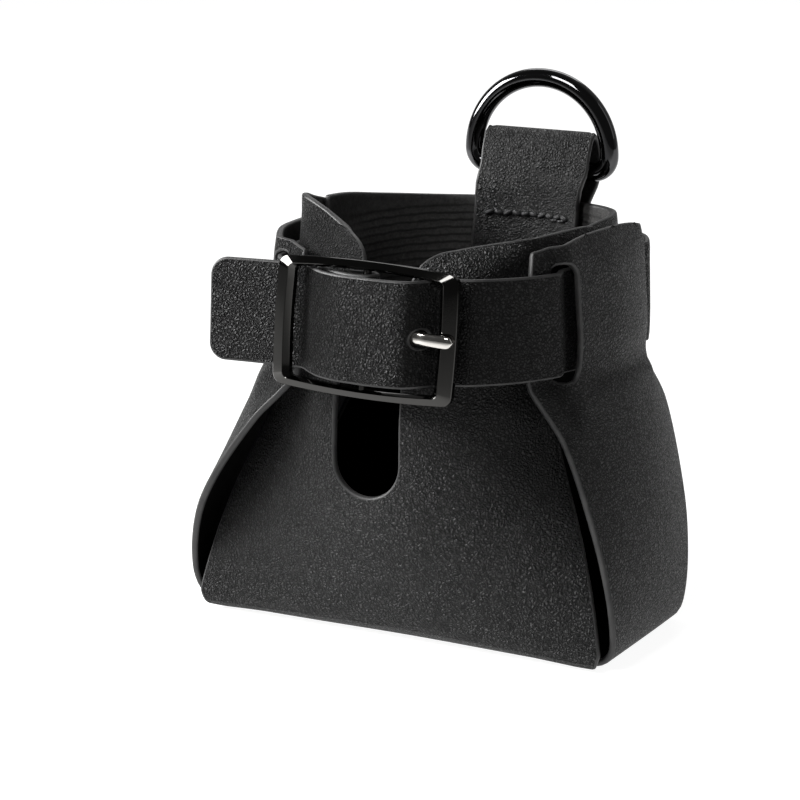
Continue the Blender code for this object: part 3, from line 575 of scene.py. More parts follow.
def notch_points(mouth):
    """One side of the notch, from the rim down to its lowest point."""
    low = rim_v(FRONT_PROFILE, NOTCH_BOTTOM_Z)
    side = math.copysign(1.0, mouth[0][0])
    corner = rim_line(FRONT_PROFILE, mouth)
    band = [(NOTCH_S + side * NOTCH_HALF_WIDTH, rim_v(FRONT_PROFILE, NOTCH_BAND_Z))]
    bowl = arc_loop((0.0, low + NOTCH_HALF_WIDTH), NOTCH_HALF_WIDTH, 0.0, -math.pi / 2, 14)
    return corner + band + [(NOTCH_S + side * s, v) for s, v in bowl]


def rim_line(profile, heights):
    """The free edge of a wall, smoothed through its listed heights, in flat leather."""
    run = spline(in_mm(heights), 4)
    return [(p.x, rim_v(profile, p.y)) for p in run]


def wall_edge(profile, wing_end):
    """Right edge of the front or back wall, from the fold at the floor up to its wing."""
    wing = rim_v(profile, WING_LOW_Z)
    return [(BASE_HALF_WIDTH - 1.0 * MM, 3.0 * MM), (BASE_HALF_WIDTH, 6.0 * MM),
            (PANEL_EDGE_AT_NECK, rim_v(profile, PANEL_EDGE_TOP_Z)), (PANEL_EDGE_AT_NECK + 1.5 * MM, wing),
            (wing_end, wing)]


def mirrored(points):
    return [(-s, v) for s, v in points]


def blank_outline():
    """The whole cut outline, anticlockwise from the right end of the front fold."""
    corner = (FLAT_HALF_WIDTH, FLAT_HALF_DEPTH - 0.9 * MM)
    neck = rim_v(SIDE_PROFILE, NECK_START_Z)
    front = wall_edge(FRONT_PROFILE, FRONT_WING_END)
    right_front = front + rim_line(FRONT_PROFILE, FRONT_RIM_RIGHT)[::-1] + notch_points(MOUTH_RIGHT)
    left_front = mirrored(front + rim_line(FRONT_PROFILE, FRONT_RIM_LEFT)[::-1]) + notch_points(MOUTH_LEFT)
    front_run = right_front + left_front[-2::-1]
    back = wall_edge(BACK_PROFILE, BACK_WING_END)
    right_back = back + rim_line(BACK_PROFILE, BACK_RIM_RIGHT)[::-1]
    left_back = mirrored(back + rim_line(BACK_PROFILE, BACK_RIM_LEFT)[::-1])
    back_run = right_back + left_back[::-1]
    loop = [(x, -FLAT_HALF_DEPTH - v) for x, v in reversed(front_run)]
    low_front = [(-SIDE_HALF_AT_BASE + 1.7 * MM, 4.0 * MM), (-SIDE_HALF_AT_BASE, 11.0 * MM),
                 (-SIDE_HALF_AT_NECK, neck)]
    right_side = low_front + rim_line(SIDE_PROFILE, SIDE_RIM_RIGHT)
    right_side += [(SIDE_HALF_AT_NECK, neck), (SIDE_REAR_AT_BASE, 11.0 * MM)]
    left_side = low_front + rim_line(SIDE_PROFILE, SIDE_RIM_LEFT)
    left_side += [(SIDE_HALF_AT_NECK, neck)]
    left_side += [(s * MM, rim_v(SIDE_PROFILE, z * MM)) for s, z in LEFT_REAR_EDGE]
    left_side += [(SIDE_HALF_AT_BASE, 11.0 * MM)]
    loop += [(corner[0], -corner[1])] + [(FLAT_HALF_WIDTH + v, y) for y, v in right_side]
    loop += [corner] + [(x, FLAT_HALF_DEPTH + v) for x, v in back_run]
    loop += [(-corner[0], corner[1])] + [(-FLAT_HALF_WIDTH - v, y) for y, v in reversed(left_side)]
    return loop + [(-corner[0], -corner[1])]


def wall_relief(x, y, side):
    """Ribs on the inner face of the back wall, and a soft unevenness everywhere."""
    wave = 0.05 * MM * math.sin(x / (7.3 * MM) + 1.1) * math.sin(y / (8.9 * MM) + 0.4)
    if side < 0 and y > FLAT_HALF_DEPTH:
        z = BACK_PROFILE.clamped(y - FLAT_HALF_DEPTH).y
        if z > RIB_LOW_Z:
            drift = 0.35 * math.sin(x / (6.1 * MM)) + 0.2 * math.sin(x / (2.7 * MM) + z * 900)
            rib = 0.5 + 0.5 * math.cos(math.tau * (z / RIB_PITCH + 0.2 * drift))
            fade = smooth(RIB_LOW_Z, RIB_LOW_Z + 3 * MM, z)
            fade *= 1 - smooth(RIB_HIGH_Z - 1 * MM, RIB_HIGH_Z, z)
            return wave - RIB_DEPTH * fade * rib
    return wave


def make_walls(finishes):
    """The folded blank, cut with its four strap slots."""
    slot_v = rim_v(SIDE_PROFILE, STRAP_Z + STRAP_LIFT) - 0.2 * MM
    slots = []
    for side, centre, width in ((-1, -SLOT_S, SLOT_WIDTH), (-1, SLOT_S, SLOT_WIDTH),
                                (1, SLOT_S, SLOT_WIDTH), (1, -MAIN_SLOT_S, MAIN_SLOT_WIDTH)):
        drop = 0.5 * MM if centre == -SLOT_S else 0.0
        hole = slot_loop(centre, slot_v - drop, width, SLOT_LENGTH - 2 * drop)
        slots.append([(side * (FLAT_HALF_WIDTH + v), s) for s, v in hole])
    loop = round_corners(blank_outline(), CORNER_R)
    reach_x = FLAT_HALF_WIDTH + rim_v(SIDE_PROFILE, 80 * MM)
    reach_y = FLAT_HALF_DEPTH + rim_v(BACK_PROFILE, 84.5 * MM)
    ribs_start = FLAT_HALF_DEPTH + rim_v(BACK_PROFILE, RIB_LOW_Z)
    plain = grid((-reach_x, -reach_y), (reach_x, ribs_start), 1.7 * MM, 1.5 * MM)
    ribs = grid((-BACK_WING_END, ribs_start + 0.8 * MM), (BACK_WING_END, reach_y), 1.2 * MM, 0.4 * MM)
    body = leather("pouch_body", [loop] + slots, bend_blank, WALL_T, np.concatenate([plain, ribs]),
                   finishes, relief=wall_relief, flip=True)
    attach(body, "pouch")
    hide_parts("base_panel", "front_panel", "back_panel", "left_side_panel", "right_side_panel")


# ---- strap

def strap_offset(beta):
    """How far the strap lies outside the innermost wall, beta degrees round from the front."""
    slots = []
    for side, twist in ((1, RIGHT_TWIST), (-1, LEFT_TWIST)):
        slots.append((side * (90.0 + math.degrees(twist))) % 360.0)
    middle = SIDE_RADIUS - NECK_RADIUS
    for side, centre in zip((1, -1), slots):
        along = math.radians(beta - centre) * SIDE_RADIUS
        if abs(along) < SLOT_S + CROSSING_LENGTH:
            return middle - CROSSING * crossing(side, along)
    behind = slots[0] + math.degrees(SLOT_S / SIDE_RADIUS), slots[1] - math.degrees(SLOT_S / SIDE_RADIUS)
    if behind[0] < beta < behind[1]:
        t = (beta - behind[0]) / (behind[1] - behind[0])
        tight = 2 * LAYER + 0.1 * MM
        return tight + (middle + CROSSING - tight) * min(1.0, abs(2 * t - 1) * 1.35) ** 3
    return middle + CROSSING


def neck_run(start, end, step=2.0):
    """Strap middle line round the back of the neck, from one front corner to the other."""
    count = round(abs(end - start) / step)
    run = []
    for k in range(count + 1):
        beta = start + (end - start) * k / count
        radius = NECK_RADIUS + strap_offset(beta)
        angle = math.radians(beta - 90.0)
        run.append(Vector((radius * math.cos(angle), NECK_Y + radius * math.sin(angle))))
    return run


def strap_route():
    """Middle line seen from above: chape end, bar, round the neck, through the frame."""
    back_run = neck_run(360.0 - 40.0, 40.0)
    chape = spline(in_mm([(-5.6, -27.3), (-2.8, -27.2)]) + [(0.0, BAR_Y + CHAPE_RADIUS)], 6)
    wrap = [Vector((CHAPE_RADIUS * math.cos(a), BAR_Y + CHAPE_RADIUS * math.sin(a)))
            for a in (math.pi / 2 - math.pi * k / 10 for k in range(1, 10))]
    ahead = back_run[0] + (back_run[0] - back_run[1])
    under = in_mm([(-4.0, -30.0), (-8.0, -28.2), (-11.5, -26.1), (-14.5, -24.4), (-18.5, -23.6)])
    left = spline([(0.0, BAR_Y - CHAPE_RADIUS)] + under + [tuple(ahead)], 6)
    over = in_mm([(19.4, -24.7), (17.0, -25.4), (15.0, -26.6), (13.1, -28.8), (11.4, -31.0),
                  (9.0, -32.3), (3.6, -32.7), (0.0, -32.5), (-4.0, -32.1), (-8.0, -30.7),
                  (-11.5, -28.4), (-14.8, -25.9), (-19.3, -25.7)])
    right = spline([tuple(back_run[-1])] + over, 6)
    return Path(chape + wrap + left + back_run + right[1:])


TONGUE_ROUTE = Path(spline(in_mm([(-19.6, -25.7), (-26.5, -26.4), (-35.2, -27.4)]), 6))


def strap_relief(s, v, side):
    """Edges pressed down a little, and a soft unevenness along the strap."""
    from_edge = STRAP_WIDTH / 2 - abs(v - STRAP_Z)
    pressed = -0.10 * MM * (1.0 - smooth(0.3 * MM, 1.8 * MM, from_edge))
    return pressed + 0.03 * MM * math.sin(s / (5.3 * MM)) * math.sin(v / (4.1 * MM))


def bend_strap(route):
    def bend(s, v):
        spot = route.clamped(s)
        return place(spot.x, spot.y, v + STRAP_LIFT, strap=True)
    return bend


def make_strap(finishes):
    """The strap from its chape to the buckle, and the tongue that sticks out past it."""
    route = strap_route()
    low, high = STRAP_Z - STRAP_WIDTH / 2, STRAP_Z + STRAP_WIDTH / 2
    wrap_end = CHAPE_START + math.pi * CHAPE_RADIUS
    outline = [(0.0, low), (route.length, low), (route.length, high), (0.0, high)]
    eye = long_hole((CHAPE_START + wrap_end) / 2, STRAP_Z, *CHAPE_EYE)
    emerges = next(d for p, d in zip(route.points[::-1], route.lengths[::-1]) if p.x > PRONG_EMERGES_X)
    hole = long_hole(emerges, STRAP_Z - STRAP_LIFT, *PRONG_HOLE)
    fine = grid((0.0, low), (wrap_end, high), 0.6 * MM, 1.6 * MM)
    coarse = grid((wrap_end + 1.2 * MM, low), (route.length - 56 * MM, high), 1.3 * MM, 1.6 * MM)
    front = grid((route.length - 55 * MM, low), (route.length, high), 0.9 * MM, 1.4 * MM)
    band = leather("neck_strap_band", [outline, eye, hole], bend_strap(route), STRAP_T,
                   np.concatenate([fine, coarse, front]), finishes, relief=strap_relief, flip=True)
    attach(band, "pouch")
    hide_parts("neck_strap")

    bend_tongue = bend_strap(TONGUE_ROUTE)
    end, r = TONGUE_ROUTE.length, TONGUE_CORNER
    loop = [(0.0, low)] + arc_loop((end - r, low + r), r, -math.pi / 2, 0, 10)
    loop += arc_loop((end - r, high - r), r, 0, math.pi / 2, 10) + [(0.0, high)]
    tip = leather("strap_tip", [loop], bend_tongue, STRAP_T, grid((0, low), (end, high), 1.2 * MM, 1.3 * MM),
                  finishes, relief=strap_relief, flip=True)
    root = bend_tongue(0.0, STRAP_Z)
    far = bend_tongue(TONGUE_ROOT, STRAP_Z)
    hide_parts("strap_tongue")
    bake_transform(tip)


# ---- buckle

def buckle_place(y):
    """Stands a buckle piece drawn round its own origin up at the front of the neck."""
    spot = Vector((NECK_SHIFT + NECK_SHEAR * y, y, STRAP_Z + BUCKLE_LIFT))
    return (Matrix.Translation(spot) @ Matrix.Rotation(-math.atan(STRAP_LEAN), 4, "X")
            @ Matrix.Rotation(BUCKLE_TILT, 4, "Y"))


def frame_ring(inset_x, inset_z, radius, y, bow=FRAME_BOW, side_points=10, corner_points=6):
    """Closed outline of the frame, bowed along its top and bottom."""
    hx, hz = FRAME_HALF_WIDTH - inset_x, FRAME_HALF_HEIGHT - inset_z
    ring = []
    signs = ((1, 1), (-1, 1), (-1, -1), (1, -1))
    for quarter in range(4):
        sx, sz = signs[quarter]
        nx, nz = signs[(quarter + 1) % 4]
        for k in range(corner_points + 1):
            a = math.radians(90 * quarter + 90 * k / corner_points)
            ring.append((sx * (hx - radius) + radius * math.cos(a),
                         sz * (hz - radius) + radius * math.sin(a)))
        start = ring[-1]
        a = math.radians(90 * quarter + 90)
        end = (nx * (hx - radius) + radius * math.cos(a), nz * (hz - radius) + radius * math.sin(a))
        for k in range(1, side_points):
            t = k / side_points
            ring.append((start[0] + (end[0] - start[0]) * t, start[1] + (end[1] - start[1]) * t))
    out = []
    for x, z in ring:
        spread = bow * (1 - (x / hx) ** 2) * smooth(0.55 * hz, 0.95 * hz, abs(z))
        belly = 0.35 * MM * (1 - (z / hz) ** 2) * smooth(0.7 * hx, 0.95 * hx, abs(x))
        out.append(Vector((x + math.copysign(belly, x), y, z + math.copysign(spread, z))))
    return out


def make_frame(metal):
    half = FRAME_THICKNESS / 2
    bm = bmesh.new()
    rings = []
    for across, radius, depth in FRAME_SECTION:
        ring = frame_ring(across * FRAME_SIDE_BAR, across * FRAME_LONG_BAR, radius * MM, depth * half)
        rings.append([bm.verts.new(p) for p in ring])
    join_rings(bm, rings, closed=True)
    ring = smooth_object("buckle_ring", bm, metal)
    ring.data.set_sharp_from_angle(angle=math.radians(22))
    ring.data.transform(buckle_place(FRAME_Y))
    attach(ring, "pouch")
    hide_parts("buckle_frame")


def prong_section(spot, normal, half_t, half_w, drop, sides=20):
    """Flattened round section across the prong."""
    section = []
    for n in range(sides):
        a = math.tau * n / sides
        u = math.copysign(abs(math.cos(a)) ** 0.7, math.cos(a))
        w = math.copysign(abs(math.sin(a)) ** 0.8, math.sin(a))
        at = spot + normal * (half_t * w - drop)
        section.append((at.x, at.y, half_w * u))
    return section


def make_prong(bright):
    """An eye round the bar, and a shank that rests on the frame and narrows at its tip."""
    eye = [Vector((PRONG_EYE_RADIUS * math.cos(a), PRONG_EYE_RADIUS * math.sin(a)))
           for a in (math.radians(40 + 230 * k / 24) for k in range(25))]
    shank = spline(in_mm([(0.0, -1.6), (4.0, -1.6), (9.0, -1.65), (12.0, -1.75), (14.2, -2.15),
                          (16.4, -2.28), (19.6, -2.28)]), 8)
    run = eye + shank[1:]
    bm = bmesh.new()
    rings = []
    for k, spot in enumerate(run):
        ahead = run[min(k + 1, len(run) - 1)] - run[max(k - 1, 0)]
        normal = Vector((-ahead.y, ahead.x)).normalized()
        on_shank = smooth(6 * MM, 12 * MM, spot.x)
        half_t, half_w = (0.5 + 0.2 * on_shank) * MM, PRONG_HALF_WIDTH
        from_tip = (run[-1] - spot).length
        if k > len(eye) and from_tip < PRONG_TIP:
            shrink = math.sqrt(max(0.02, 1 - (1 - from_tip / PRONG_TIP) ** 2))
            half_w *= shrink
            half_t *= 0.4 + 0.6 * shrink
        section = prong_section(spot, normal, half_t, half_w, 0.2 * MM * on_shank)
        rings.append([bm.verts.new(p) for p in section])
    join_rings(bm, rings, closed=False)
    prong = smooth_object("prong", bm, bright)
    prong.data.set_sharp_from_angle(angle=math.radians(50))
    prong.data.transform(buckle_place(BAR_Y))
    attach(prong, "prong")
    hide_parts("buckle_prong")


# ---- ring and tab

def bend_tab(route):
    def bend(s, v):
        offset, z = route.clamped(v)
        radius = NECK_RADIUS + offset
        flat = min(1.0, max(0.0, (z - TAB_HINGE_Z - 0.3 * MM) / (6.4 * MM)))
        round_x, round_y = radius * math.sin(s / radius), NECK_Y + radius * math.cos(s / radius)
        y = round_y * (1 - flat) + (NECK_Y + radius) * flat
        x = round_x * (1 - flat) + s * flat
        skew = TAB_SKEW * max(0.0, RING_Z - z)
        return place(x - skew + NECK_SHEAR * (NECK_BACK - y) * flat, y, z)
    return bend


def tab_route():
    """Up the inner face of the back wall, over the ring and down the outer face."""
    rise = [(-LAYER, TAB_LOW_Z), (-LAYER, 68 * MM), (-LAYER, TAB_HINGE_Z - 2 * MM),
            (-2.5 * MM, TAB_HINGE_Z + 1 * MM), (-3.5 * MM, RING_Z - 2.8 * MM), (-3.4 * MM, RING_Z),
            (-2.7 * MM, RING_Z + 3.6 * MM), (-1.5 * MM, RING_Z + 6.2 * MM)]
    return Path(spline(rise + [(0.0, RING_Z + 7.4 * MM)] + [(-q, z) for q, z in reversed(rise)], 10))


def make_tab(finishes):
    """The folded tab, pressed in along its edges and dented by its row of stitches."""
    route = tab_route()
    stitch_v = route.where(lambda p: p.y >= TAB_STITCH_Z)

    def relief(s, v, side):
        from_edge = TAB_HALF_WIDTH - abs(s)
        pressed = -0.12 * MM * (1.0 - smooth(0.3 * MM, 2.0 * MM, from_edge))
        if v < route.length / 2:
            dent = math.exp(-((v - stitch_v) / (0.9 * MM)) ** 2) * (1.0 - smooth(9 * MM, 10.6 * MM, abs(s)))
            pressed -= 0.26 * MM * dent if side < 0 else 0.0
        return pressed

    w = TAB_HALF_WIDTH
    loop = [(-w, 0.0), (w, 0.0), (w, route.length), (-w, route.length)]
    points = grid((-w, 0.0), (w, route.length), 1.0 * MM, 0.7 * MM)
    tab = leather("ring_tab", [loop], bend_tab(route), WALL_T, points, finishes, relief=relief)
    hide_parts("tab_inner_layer", "tab_outer_layer", "tab_loop")
    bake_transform(tab)


def stitch(at, radius, rise, lift):
    """One stitch: points and radii along a thread that rises out of the leather and dives back."""
    run = []
    for n in range(9):
        bulge = math.sin(math.pi * n / 8)
        spot = at(n / 8)
        spot.y += rise * (0.05 + lift * bulge) * MM
        run.append((spot, radius * (0.55 + 0.45 * bulge ** 0.5)))
    return run


def thread_piece(name, runs, node, finish):
    """A row of separate stitches as one piece, in place of a CAD node."""
    bm = bmesh.new()
    for run in runs:
        rings = []
        for k, (at, radius) in enumerate(run):
            ahead = (run[min(k + 1, len(run) - 1)][0] - run[max(k - 1, 0)][0]).normalized()
            up = ahead.cross(Vector((0, 1, 0))).normalized()
            rings.append(circle(bm, at, up, up.cross(ahead), radius, 8))
        join_rings(bm, rings, closed=False)
    obj = smooth_object(name, bm, finish)
    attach(obj, "pouch")
    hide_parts(node)


def make_tab_stitches(thread):
    """A row across the tab just below the rim, its last two stitches sewn over again."""
    rng = random.Random(SEED)
    inner_face = -LAYER - WALL_T / 2 + 0.12 * MM
    surface = bend_tab(Path([Vector((inner_face, TAB_LOW_Z)), Vector((inner_face, TAB_HINGE_Z))]))
    pitch = TAB_STITCH_PITCH
    stitches = []
    for k in range(TAB_STITCHES):
        s = (k - (TAB_STITCHES - 1) / 2) * pitch
        tilt = rng.uniform(-0.16, 0.16) * MM + (0.22 * MM if k % 2 else -0.22 * MM)
        radius = 0.45 * MM + rng.uniform(0, 0.06) * MM
        stitches.append((s - 0.46 * pitch, tilt, s + 0.46 * pitch, -tilt, radius))
    for k in range(2):
        s = (TAB_STITCHES / 2 - 1.6 + 0.9 * k) * pitch
        stitches.append((s - 0.8 * pitch, -0.75 * MM, s + 0.3 * pitch, -0.6 * MM, 0.3 * MM))
    runs = []
    for s0, z0, s1, z1, radius in stitches:
        def along(t, s0=s0, z0=z0, s1=s1, z1=z1):
            return surface(s0 + (s1 - s0) * t, TAB_STITCH_Z + z0 + (z1 - z0) * t - TAB_LOW_Z)
        runs.append(stitch(along, radius, -1, 0.26))
    thread_piece("tab_lockstitch", runs, "tab_stitching", thread)


def make_chape_stitches(thread):
    """An upright row through the chape behind the buckle."""
    runs = []
    for k in range(CHAPE_STITCHES):
        z = STRAP_Z + (k - (CHAPE_STITCHES - 1) / 2) * CHAPE_STITCH_PITCH

        def along(t, z=z):
            height = z + (t - 0.5) * 0.9 * CHAPE_STITCH_PITCH
            return place(-4.2 * MM, -27.3 * MM + STRAP_T / 2, height, strap=True)
        runs.append(stitch(along, 0.25 * MM, 1, 0.28))
    thread_piece("chape_lockstitch", runs, "chape_stitching", thread)


def make_ring(metal):
    """Round wire bent to a D, its straight bar through the tab's loop."""
    centre = Vector((NECK_SHIFT + NECK_SHEAR * NECK_BACK, NECK_BACK, RING_Z))
    half, r = RING_HALF_WIDTH, RING_CORNER
    outline = [(k / 12 * (half - r), 0.0) for k in range(-11, 12)]
    outline += arc_loop((half - r, r), r, -math.pi / 2, 0, 12)
    outline += arc_loop((0.0, r), half, 0, math.pi, 72)[1:-1]
    outline += arc_loop((-half + r, r), r, math.pi, 1.5 * math.pi, 12)
    bm = bmesh.new()
    rings = []
    for k, (x, z) in enumerate(outline):
        after, before = outline[(k + 1) % len(outline)], outline[k - 1]
        ahead = Vector((after[0] - before[0], 0, after[1] - before[1])).normalized()
        out = Vector((ahead.z, 0, -ahead.x))
        rings.append(circle(bm, centre + Vector((x, 0, z)), out, Vector((0, 1, 0)), RING_WIRE, 28))
    join_rings(bm, rings, closed=True)
    ring = smooth_object("hanging_ring", bm, metal)
    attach(ring, "ring")
    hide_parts("d_ring")


# ---- finishes

def fill(node, values):
    """Set a node's unlinked sockets."""
    for socket, value in values.items():
        node.inputs[socket].default_value = value


class Shader:
    """A short way to write node materials."""

    def __init__(self, name, colour, roughness, metallic=0.0):
        self.material = bpy.data.materials.new(name)
        self.material.use_nodes = True
        self.tree = self.material.node_tree
        self.surface = self.tree.nodes["Principled BSDF"]
        fill(self.surface, {"Base Color": (*colour, 1.0), "Roughness": roughness, "Metallic": metallic})
        place_node = self.node("ShaderNodeTexCoord")
        scale = self.node("ShaderNodeMapping")
        fill(scale, {"Scale": (1000.0, 1000.0, 1000.0)})
        self.link(place_node.outputs["Object"], scale.inputs["Vector"])
        self.mm = scale.outputs["Vector"]

    def put(self, socket, value):
        fill(self.surface, {socket: value})

    def drive(self, socket, value):
        self.link(value, self.surface.inputs[socket])

    def node(self, kind, **values):
        made = self.tree.nodes.new(kind)
        for key, value in values.items():
            setattr(made, key, value)
        return made

    def link(self, start, end):
        self.tree.links.new(start, end)

    def noise(self, per_mm, detail=2.0, roughness=0.5, distortion=0.0, vector=None):
        made = self.node("ShaderNodeTexNoise")
        fill(made, {"Scale": per_mm, "Detail": detail, "Roughness": roughness, "Distortion": distortion})
        self.link(vector or self.mm, made.inputs["Vector"])
        return made

    def ramp(self, value, low, high, start, end):
        made = self.node("ShaderNodeMapRange")
        fill(made, {"From Min": low, "From Max": high, "To Min": start, "To Max": end})
        self.link(value, made.inputs["Value"])
        return made.outputs["Result"]

    def maths(self, operation, a, b):
        made = self.node("ShaderNodeMath", operation=operation)
        for socket, value in zip(made.inputs, (a, b)):
            if isinstance(value, (int, float)):
                socket.default_value = value
            else:
                self.link(value, socket)
        return made.outputs["Value"]

    def mix(self, factor, a, b):
        made = self.node("ShaderNodeMix", data_type="RGBA")
        self.link(factor, made.inputs["Factor"])
        fill(made, {"A": (*a, 1.0), "B": (*b, 1.0)})
        return made.outputs["Result"]

    def bump(self, height, depth, strength=1.0):
        made = self.node("ShaderNodeBump")
        fill(made, {"Strength": strength, "Distance": depth})
        self.link(height, made.inputs["Height"])
        self.drive("Normal", made.outputs["Normal"])


def grain_leather(name, dark, light, sheen):
    """Soft black leather: small uneven pebbles with creases between, a low sheen."""
    shader = Shader(name, (light, light, light), 0.45)
    warp = shader.noise(0.9, 2.0)
    bent = shader.node("ShaderNodeMixRGB", blend_type="LINEAR_LIGHT")
    fill(bent, {"Fac": 0.55})
    shader.link(shader.mm, bent.inputs["Color1"])
    shader.link(warp.outputs["Color"], bent.inputs["Color2"])
    cells = shader.node("ShaderNodeTexVoronoi", feature="DISTANCE_TO_EDGE")
    fill(cells, {"Scale": 1.5})
    shader.link(bent.outputs["Color"], cells.inputs["Vector"])
    pebbles = shader.ramp(cells.outputs["Distance"], 0.0, 0.36, 0.0, 1.0)
    uneven = shader.noise(0.42, 2.0)
    depth = shader.ramp(uneven.outputs["Fac"], 0.3, 0.7, 0.35, 1.0)
    fine = shader.noise(4.5, 3.0, 0.6)
    height = shader.maths("ADD", shader.maths("MULTIPLY", pebbles, depth),
                          shader.maths("MULTIPLY", fine.outputs["Fac"], 0.6))
    shader.bump(height, 1.0 * MM)
    shade = shader.ramp(shader.noise(0.06, 3.0).outputs["Fac"], 0.3, 0.7, 0.0, 1.0)
    shader.drive("Base Color", shader.mix(shade, (dark, dark, dark), (light, light, light)))
    shader.drive("Roughness", shader.ramp(pebbles, 0.0, 1.0, 0.55, 0.38))
    shader.drive("Specular IOR Level", shader.ramp(pebbles, 0.0, 0.8, 0.14 * sheen, 0.42 * sheen))
    return shader.material


def inside_leather():
    """Brushed flesh side, dull and fibrous, with painted shade that makes it almost black down inside the
    pouch and darker in the grooves of the ribs.
    """
    shader = Shader("leather_inside", (0.01, 0.01, 0.01), 0.8)
    fibres = shader.noise(2.6, 4.0, 0.7, 0.6)
    shader.bump(fibres.outputs["Fac"], 0.28 * MM)
    height = shader.node("ShaderNodeSeparateXYZ")
    shader.link(shader.mm, height.inputs["Vector"])
    # painted shade: the colour darkens from the rim down into the pouch, and the specular falls with it
    painted_shade_fade = shader.ramp(height.outputs["Z"], 52.0, 66.0, 0.0, 1.0)
    shake = shader.noise(0.35, 3.0, 0.6)
    phase = shader.maths("ADD", shader.maths("MULTIPLY", height.outputs["Z"], math.tau / RIB_PITCH_MM),
                         shader.maths("MULTIPLY", shake.outputs["Fac"], 3.4))
    at_back = shader.ramp(height.outputs["Y"], 8.0, 14.0, 0.0, 1.0)
    below_rim = shader.ramp(height.outputs["Z"], 76.0, 78.0, 1.0, 0.0)
    # painted shade: the colour darkens along each groove between the ribs
    painted_groove_shade = shader.ramp(shader.maths("SINE", phase, 0.0), -1.0, -0.1, 0.9, 0.0)
    painted_groove_shade = shader.maths("MULTIPLY", painted_groove_shade, shader.maths("MULTIPLY", at_back, below_rim))
    tone = shader.noise(1.1, 4.0, 0.7)
    blotch_and_groove_shade = shader.maths("MULTIPLY", shader.ramp(tone.outputs["Fac"], 0.3, 0.7, 0.35, 1.0),
                          shader.maths("SUBTRACT", 1.0, painted_groove_shade))
    # colour: random blotches, darkened by painted shade deep inside the pouch and in the rib grooves
    shader.drive("Base Color", shader.mix(shader.maths("MULTIPLY", blotch_and_groove_shade, painted_shade_fade),
                                          (0.0015, 0.0015, 0.0015), (0.045, 0.044, 0.043)))
    shader.drive("Specular IOR Level", shader.ramp(painted_shade_fade, 0.0, 1.0, 0.02, 0.35))
    return shader.material


def cut_edge():
    """Raw cut edge, burnished by wear, its colour a little greyer than the faces: partly the raw edge's own
    tone, partly a painted highlight.
    """
    shader = Shader("leather_edge", (0.02, 0.02, 0.021), 0.5)
    shader.put("Specular IOR Level", 0.45)
    fibres = shader.noise(2.6, 4.0, 0.7)
    shader.bump(fibres.outputs["Fac"], 0.07 * MM)
    tone = shader.ramp(shader.noise(0.35, 3.0).outputs["Fac"], 0.3, 0.7, 0.0, 1.0)
    # partly painted highlight: the cut edges are coloured lighter than the faces
    shader.drive("Base Color", shader.mix(tone, (0.010, 0.010, 0.0105), (0.026, 0.0255, 0.025)))
    return shader.material


def waxed_thread():
    shader = Shader("waxed_thread", (0.01, 0.01, 0.0105), 0.55)
    twist = shader.node("ShaderNodeTexWave", wave_type="BANDS", bands_direction="DIAGONAL")
    fill(twist, {"Scale": 1.1, "Distortion": 1.5})
    shader.link(shader.mm, twist.inputs["Vector"])
    shader.bump(twist.outputs["Fac"], 0.08 * MM)
    tone = shader.noise(1.4, 2.0)
    shader.drive("Base Color", shader.mix(tone.outputs["Fac"], (0.006, 0.006, 0.0065), (0.02, 0.02, 0.021)))
    return shader.material


def plated(name, colour, low_rough, high_rough):
    """Polished plating with faint smudges and hairline scratches."""
    shader = Shader(name, colour, low_rough, 1.0)
    smudge = shader.noise(0.22, 4.0, 0.6)
    shader.drive("Roughness", shader.ramp(smudge.outputs["Fac"], 0.35, 0.7, low_rough, high_rough))
    stretch = shader.node("ShaderNodeMapping")
    fill(stretch, {"Scale": (0.35, 6.0, 6.0)})
    shader.link(shader.mm, stretch.inputs["Vector"])
    hairs = shader.noise(1.0, 3.0, 0.6, 0.0, stretch.outputs["Vector"])
    shader.bump(hairs.outputs["Fac"], 0.004 * MM, 0.5)
    return shader.material


# ---- stage

def make_stage():
    """A pale floor that glows white under and behind the object."""
    floor = bpy.data.meshes.new("floor")
    bm = bmesh.new()
    bmesh.ops.create_circle(bm, cap_ends=True, radius=6.0, segments=96)
    bm.to_mesh(floor)
    bm.free()
    obj = bpy.data.objects.new("floor", floor)
    obj.location.z = -0.0004
    shader = Shader("pale_floor", (0.3, 0.3, 0.3), 0.8)
    shader.put("Specular IOR Level", 0.0)
    speckle = shader.noise(0.01, 2.0)
    shader.drive("Base Color", shader.mix(speckle.outputs["Fac"], (0.27, 0.27, 0.27), (0.31, 0.31, 0.31)))
    spot = shader.node("ShaderNodeSeparateXYZ")
    shader.link(shader.mm, spot.inputs["Vector"])
    shader.put("Emission Color", (1.0, 1.0, 1.0, 1.0))
    shader.drive("Emission Strength", shader.ramp(spot.outputs["Y"], -420.0, -110.0, 0.22, 0.93))
    floor.materials.append(shader.material)
    bpy.context.scene.collection.objects.link(obj)


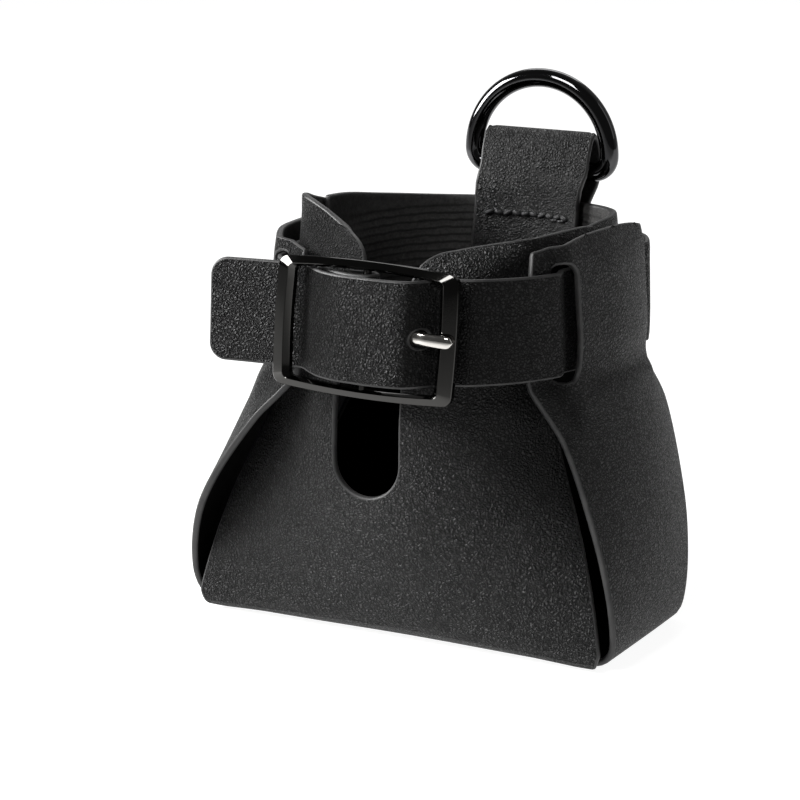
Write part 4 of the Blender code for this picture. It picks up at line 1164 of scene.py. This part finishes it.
def make_light():
    """A dim studio, brighter behind the object, and four soft lamps."""
    world = bpy.data.worlds.new("studio")
    world.use_nodes = True
    nodes, links = world.node_tree.nodes, world.node_tree.links
    direction = nodes.new("ShaderNodeTexCoord")
    parts = nodes.new("ShaderNodeSeparateXYZ")
    links.new(direction.outputs["Generated"], parts.inputs["Vector"])
    fade = nodes.new("ShaderNodeMapRange")
    fill(fade, {"From Min": 0.0, "From Max": 0.7, "To Min": 0.06, "To Max": 0.28})
    links.new(parts.outputs["Y"], fade.inputs["Value"])
    background = nodes["Background"]
    fill(background, {"Color": (1.0, 1.0, 1.0, 1.0)})
    links.new(fade.outputs["Result"], background.inputs["Strength"])
    bpy.context.scene.world = world
    bpy.context.scene.view_settings.view_transform = "Standard"

    for name, azimuth, elevation, distance, size, power in LIGHTS:
        light = bpy.data.lights.new(name, "AREA")
        light.shape = "RECTANGLE"
        light.size, light.size_y = size
        light.energy = power
        lamp = bpy.data.objects.new(name, light)
        a, e = math.radians(azimuth), math.radians(elevation)
        back = Vector((math.sin(a) * math.cos(e), -math.cos(a) * math.cos(e), math.sin(e)))
        lamp.location = LIGHTS_AIM + back * distance
        lamp.rotation_euler = back.to_track_quat("Z", "Y").to_euler()
        bpy.context.scene.collection.objects.link(lamp)


def make_camera():
    camera = bpy.data.cameras.new("camera")
    camera.sensor_width = 36.0
    camera.lens = CAMERA_LENS
    camera.clip_start = 0.01
    obj = bpy.data.objects.new("camera", camera)
    obj.location = CAMERA_SPOT
    obj.rotation_euler = (math.pi / 2 - CAMERA_ELEVATION, 0.0, CAMERA_AZIMUTH)
    bpy.context.scene.collection.objects.link(obj)
    bpy.context.scene.camera = obj


def main():
    make_camera()
    make_stage()
    make_light()
    lining, edge = inside_leather(), cut_edge()
    body_grain = grain_leather("body_grain", 0.002, 0.006, 1.0)
    # painted shade and light: the strap's copy of the grain leather is darker and the tab's copy lighter,
    # for how the light falls on them
    strap_grain_painted_shade = grain_leather("strap_grain_painted_shade", 0.001, 0.003, 0.65)
    tab_grain_painted_light = grain_leather("tab_grain_painted_light", 0.016, 0.032, 1.25)
    thread = waxed_thread()
    gunmetal = plated("gunmetal_plate", (0.055, 0.054, 0.052), 0.06, 0.11)
    nickel = plated("nickel_plate", (0.62, 0.60, 0.57), 0.08, 0.16)
    black_plate = plated("black_plate", (0.07, 0.07, 0.072), 0.05, 0.09)
    make_walls([body_grain, lining, edge])
    make_strap([strap_grain_painted_shade, lining, edge])
    make_frame(gunmetal)
    make_prong(nickel)
    make_tab([tab_grain_painted_light, lining, edge])
    make_tab_stitches(thread)
    make_chape_stitches(thread)
    make_ring(black_plate)
    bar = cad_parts["buckle_centre_bar"]
    bar.data.materials.clear()
    bar.data.materials.append(gunmetal)


main()
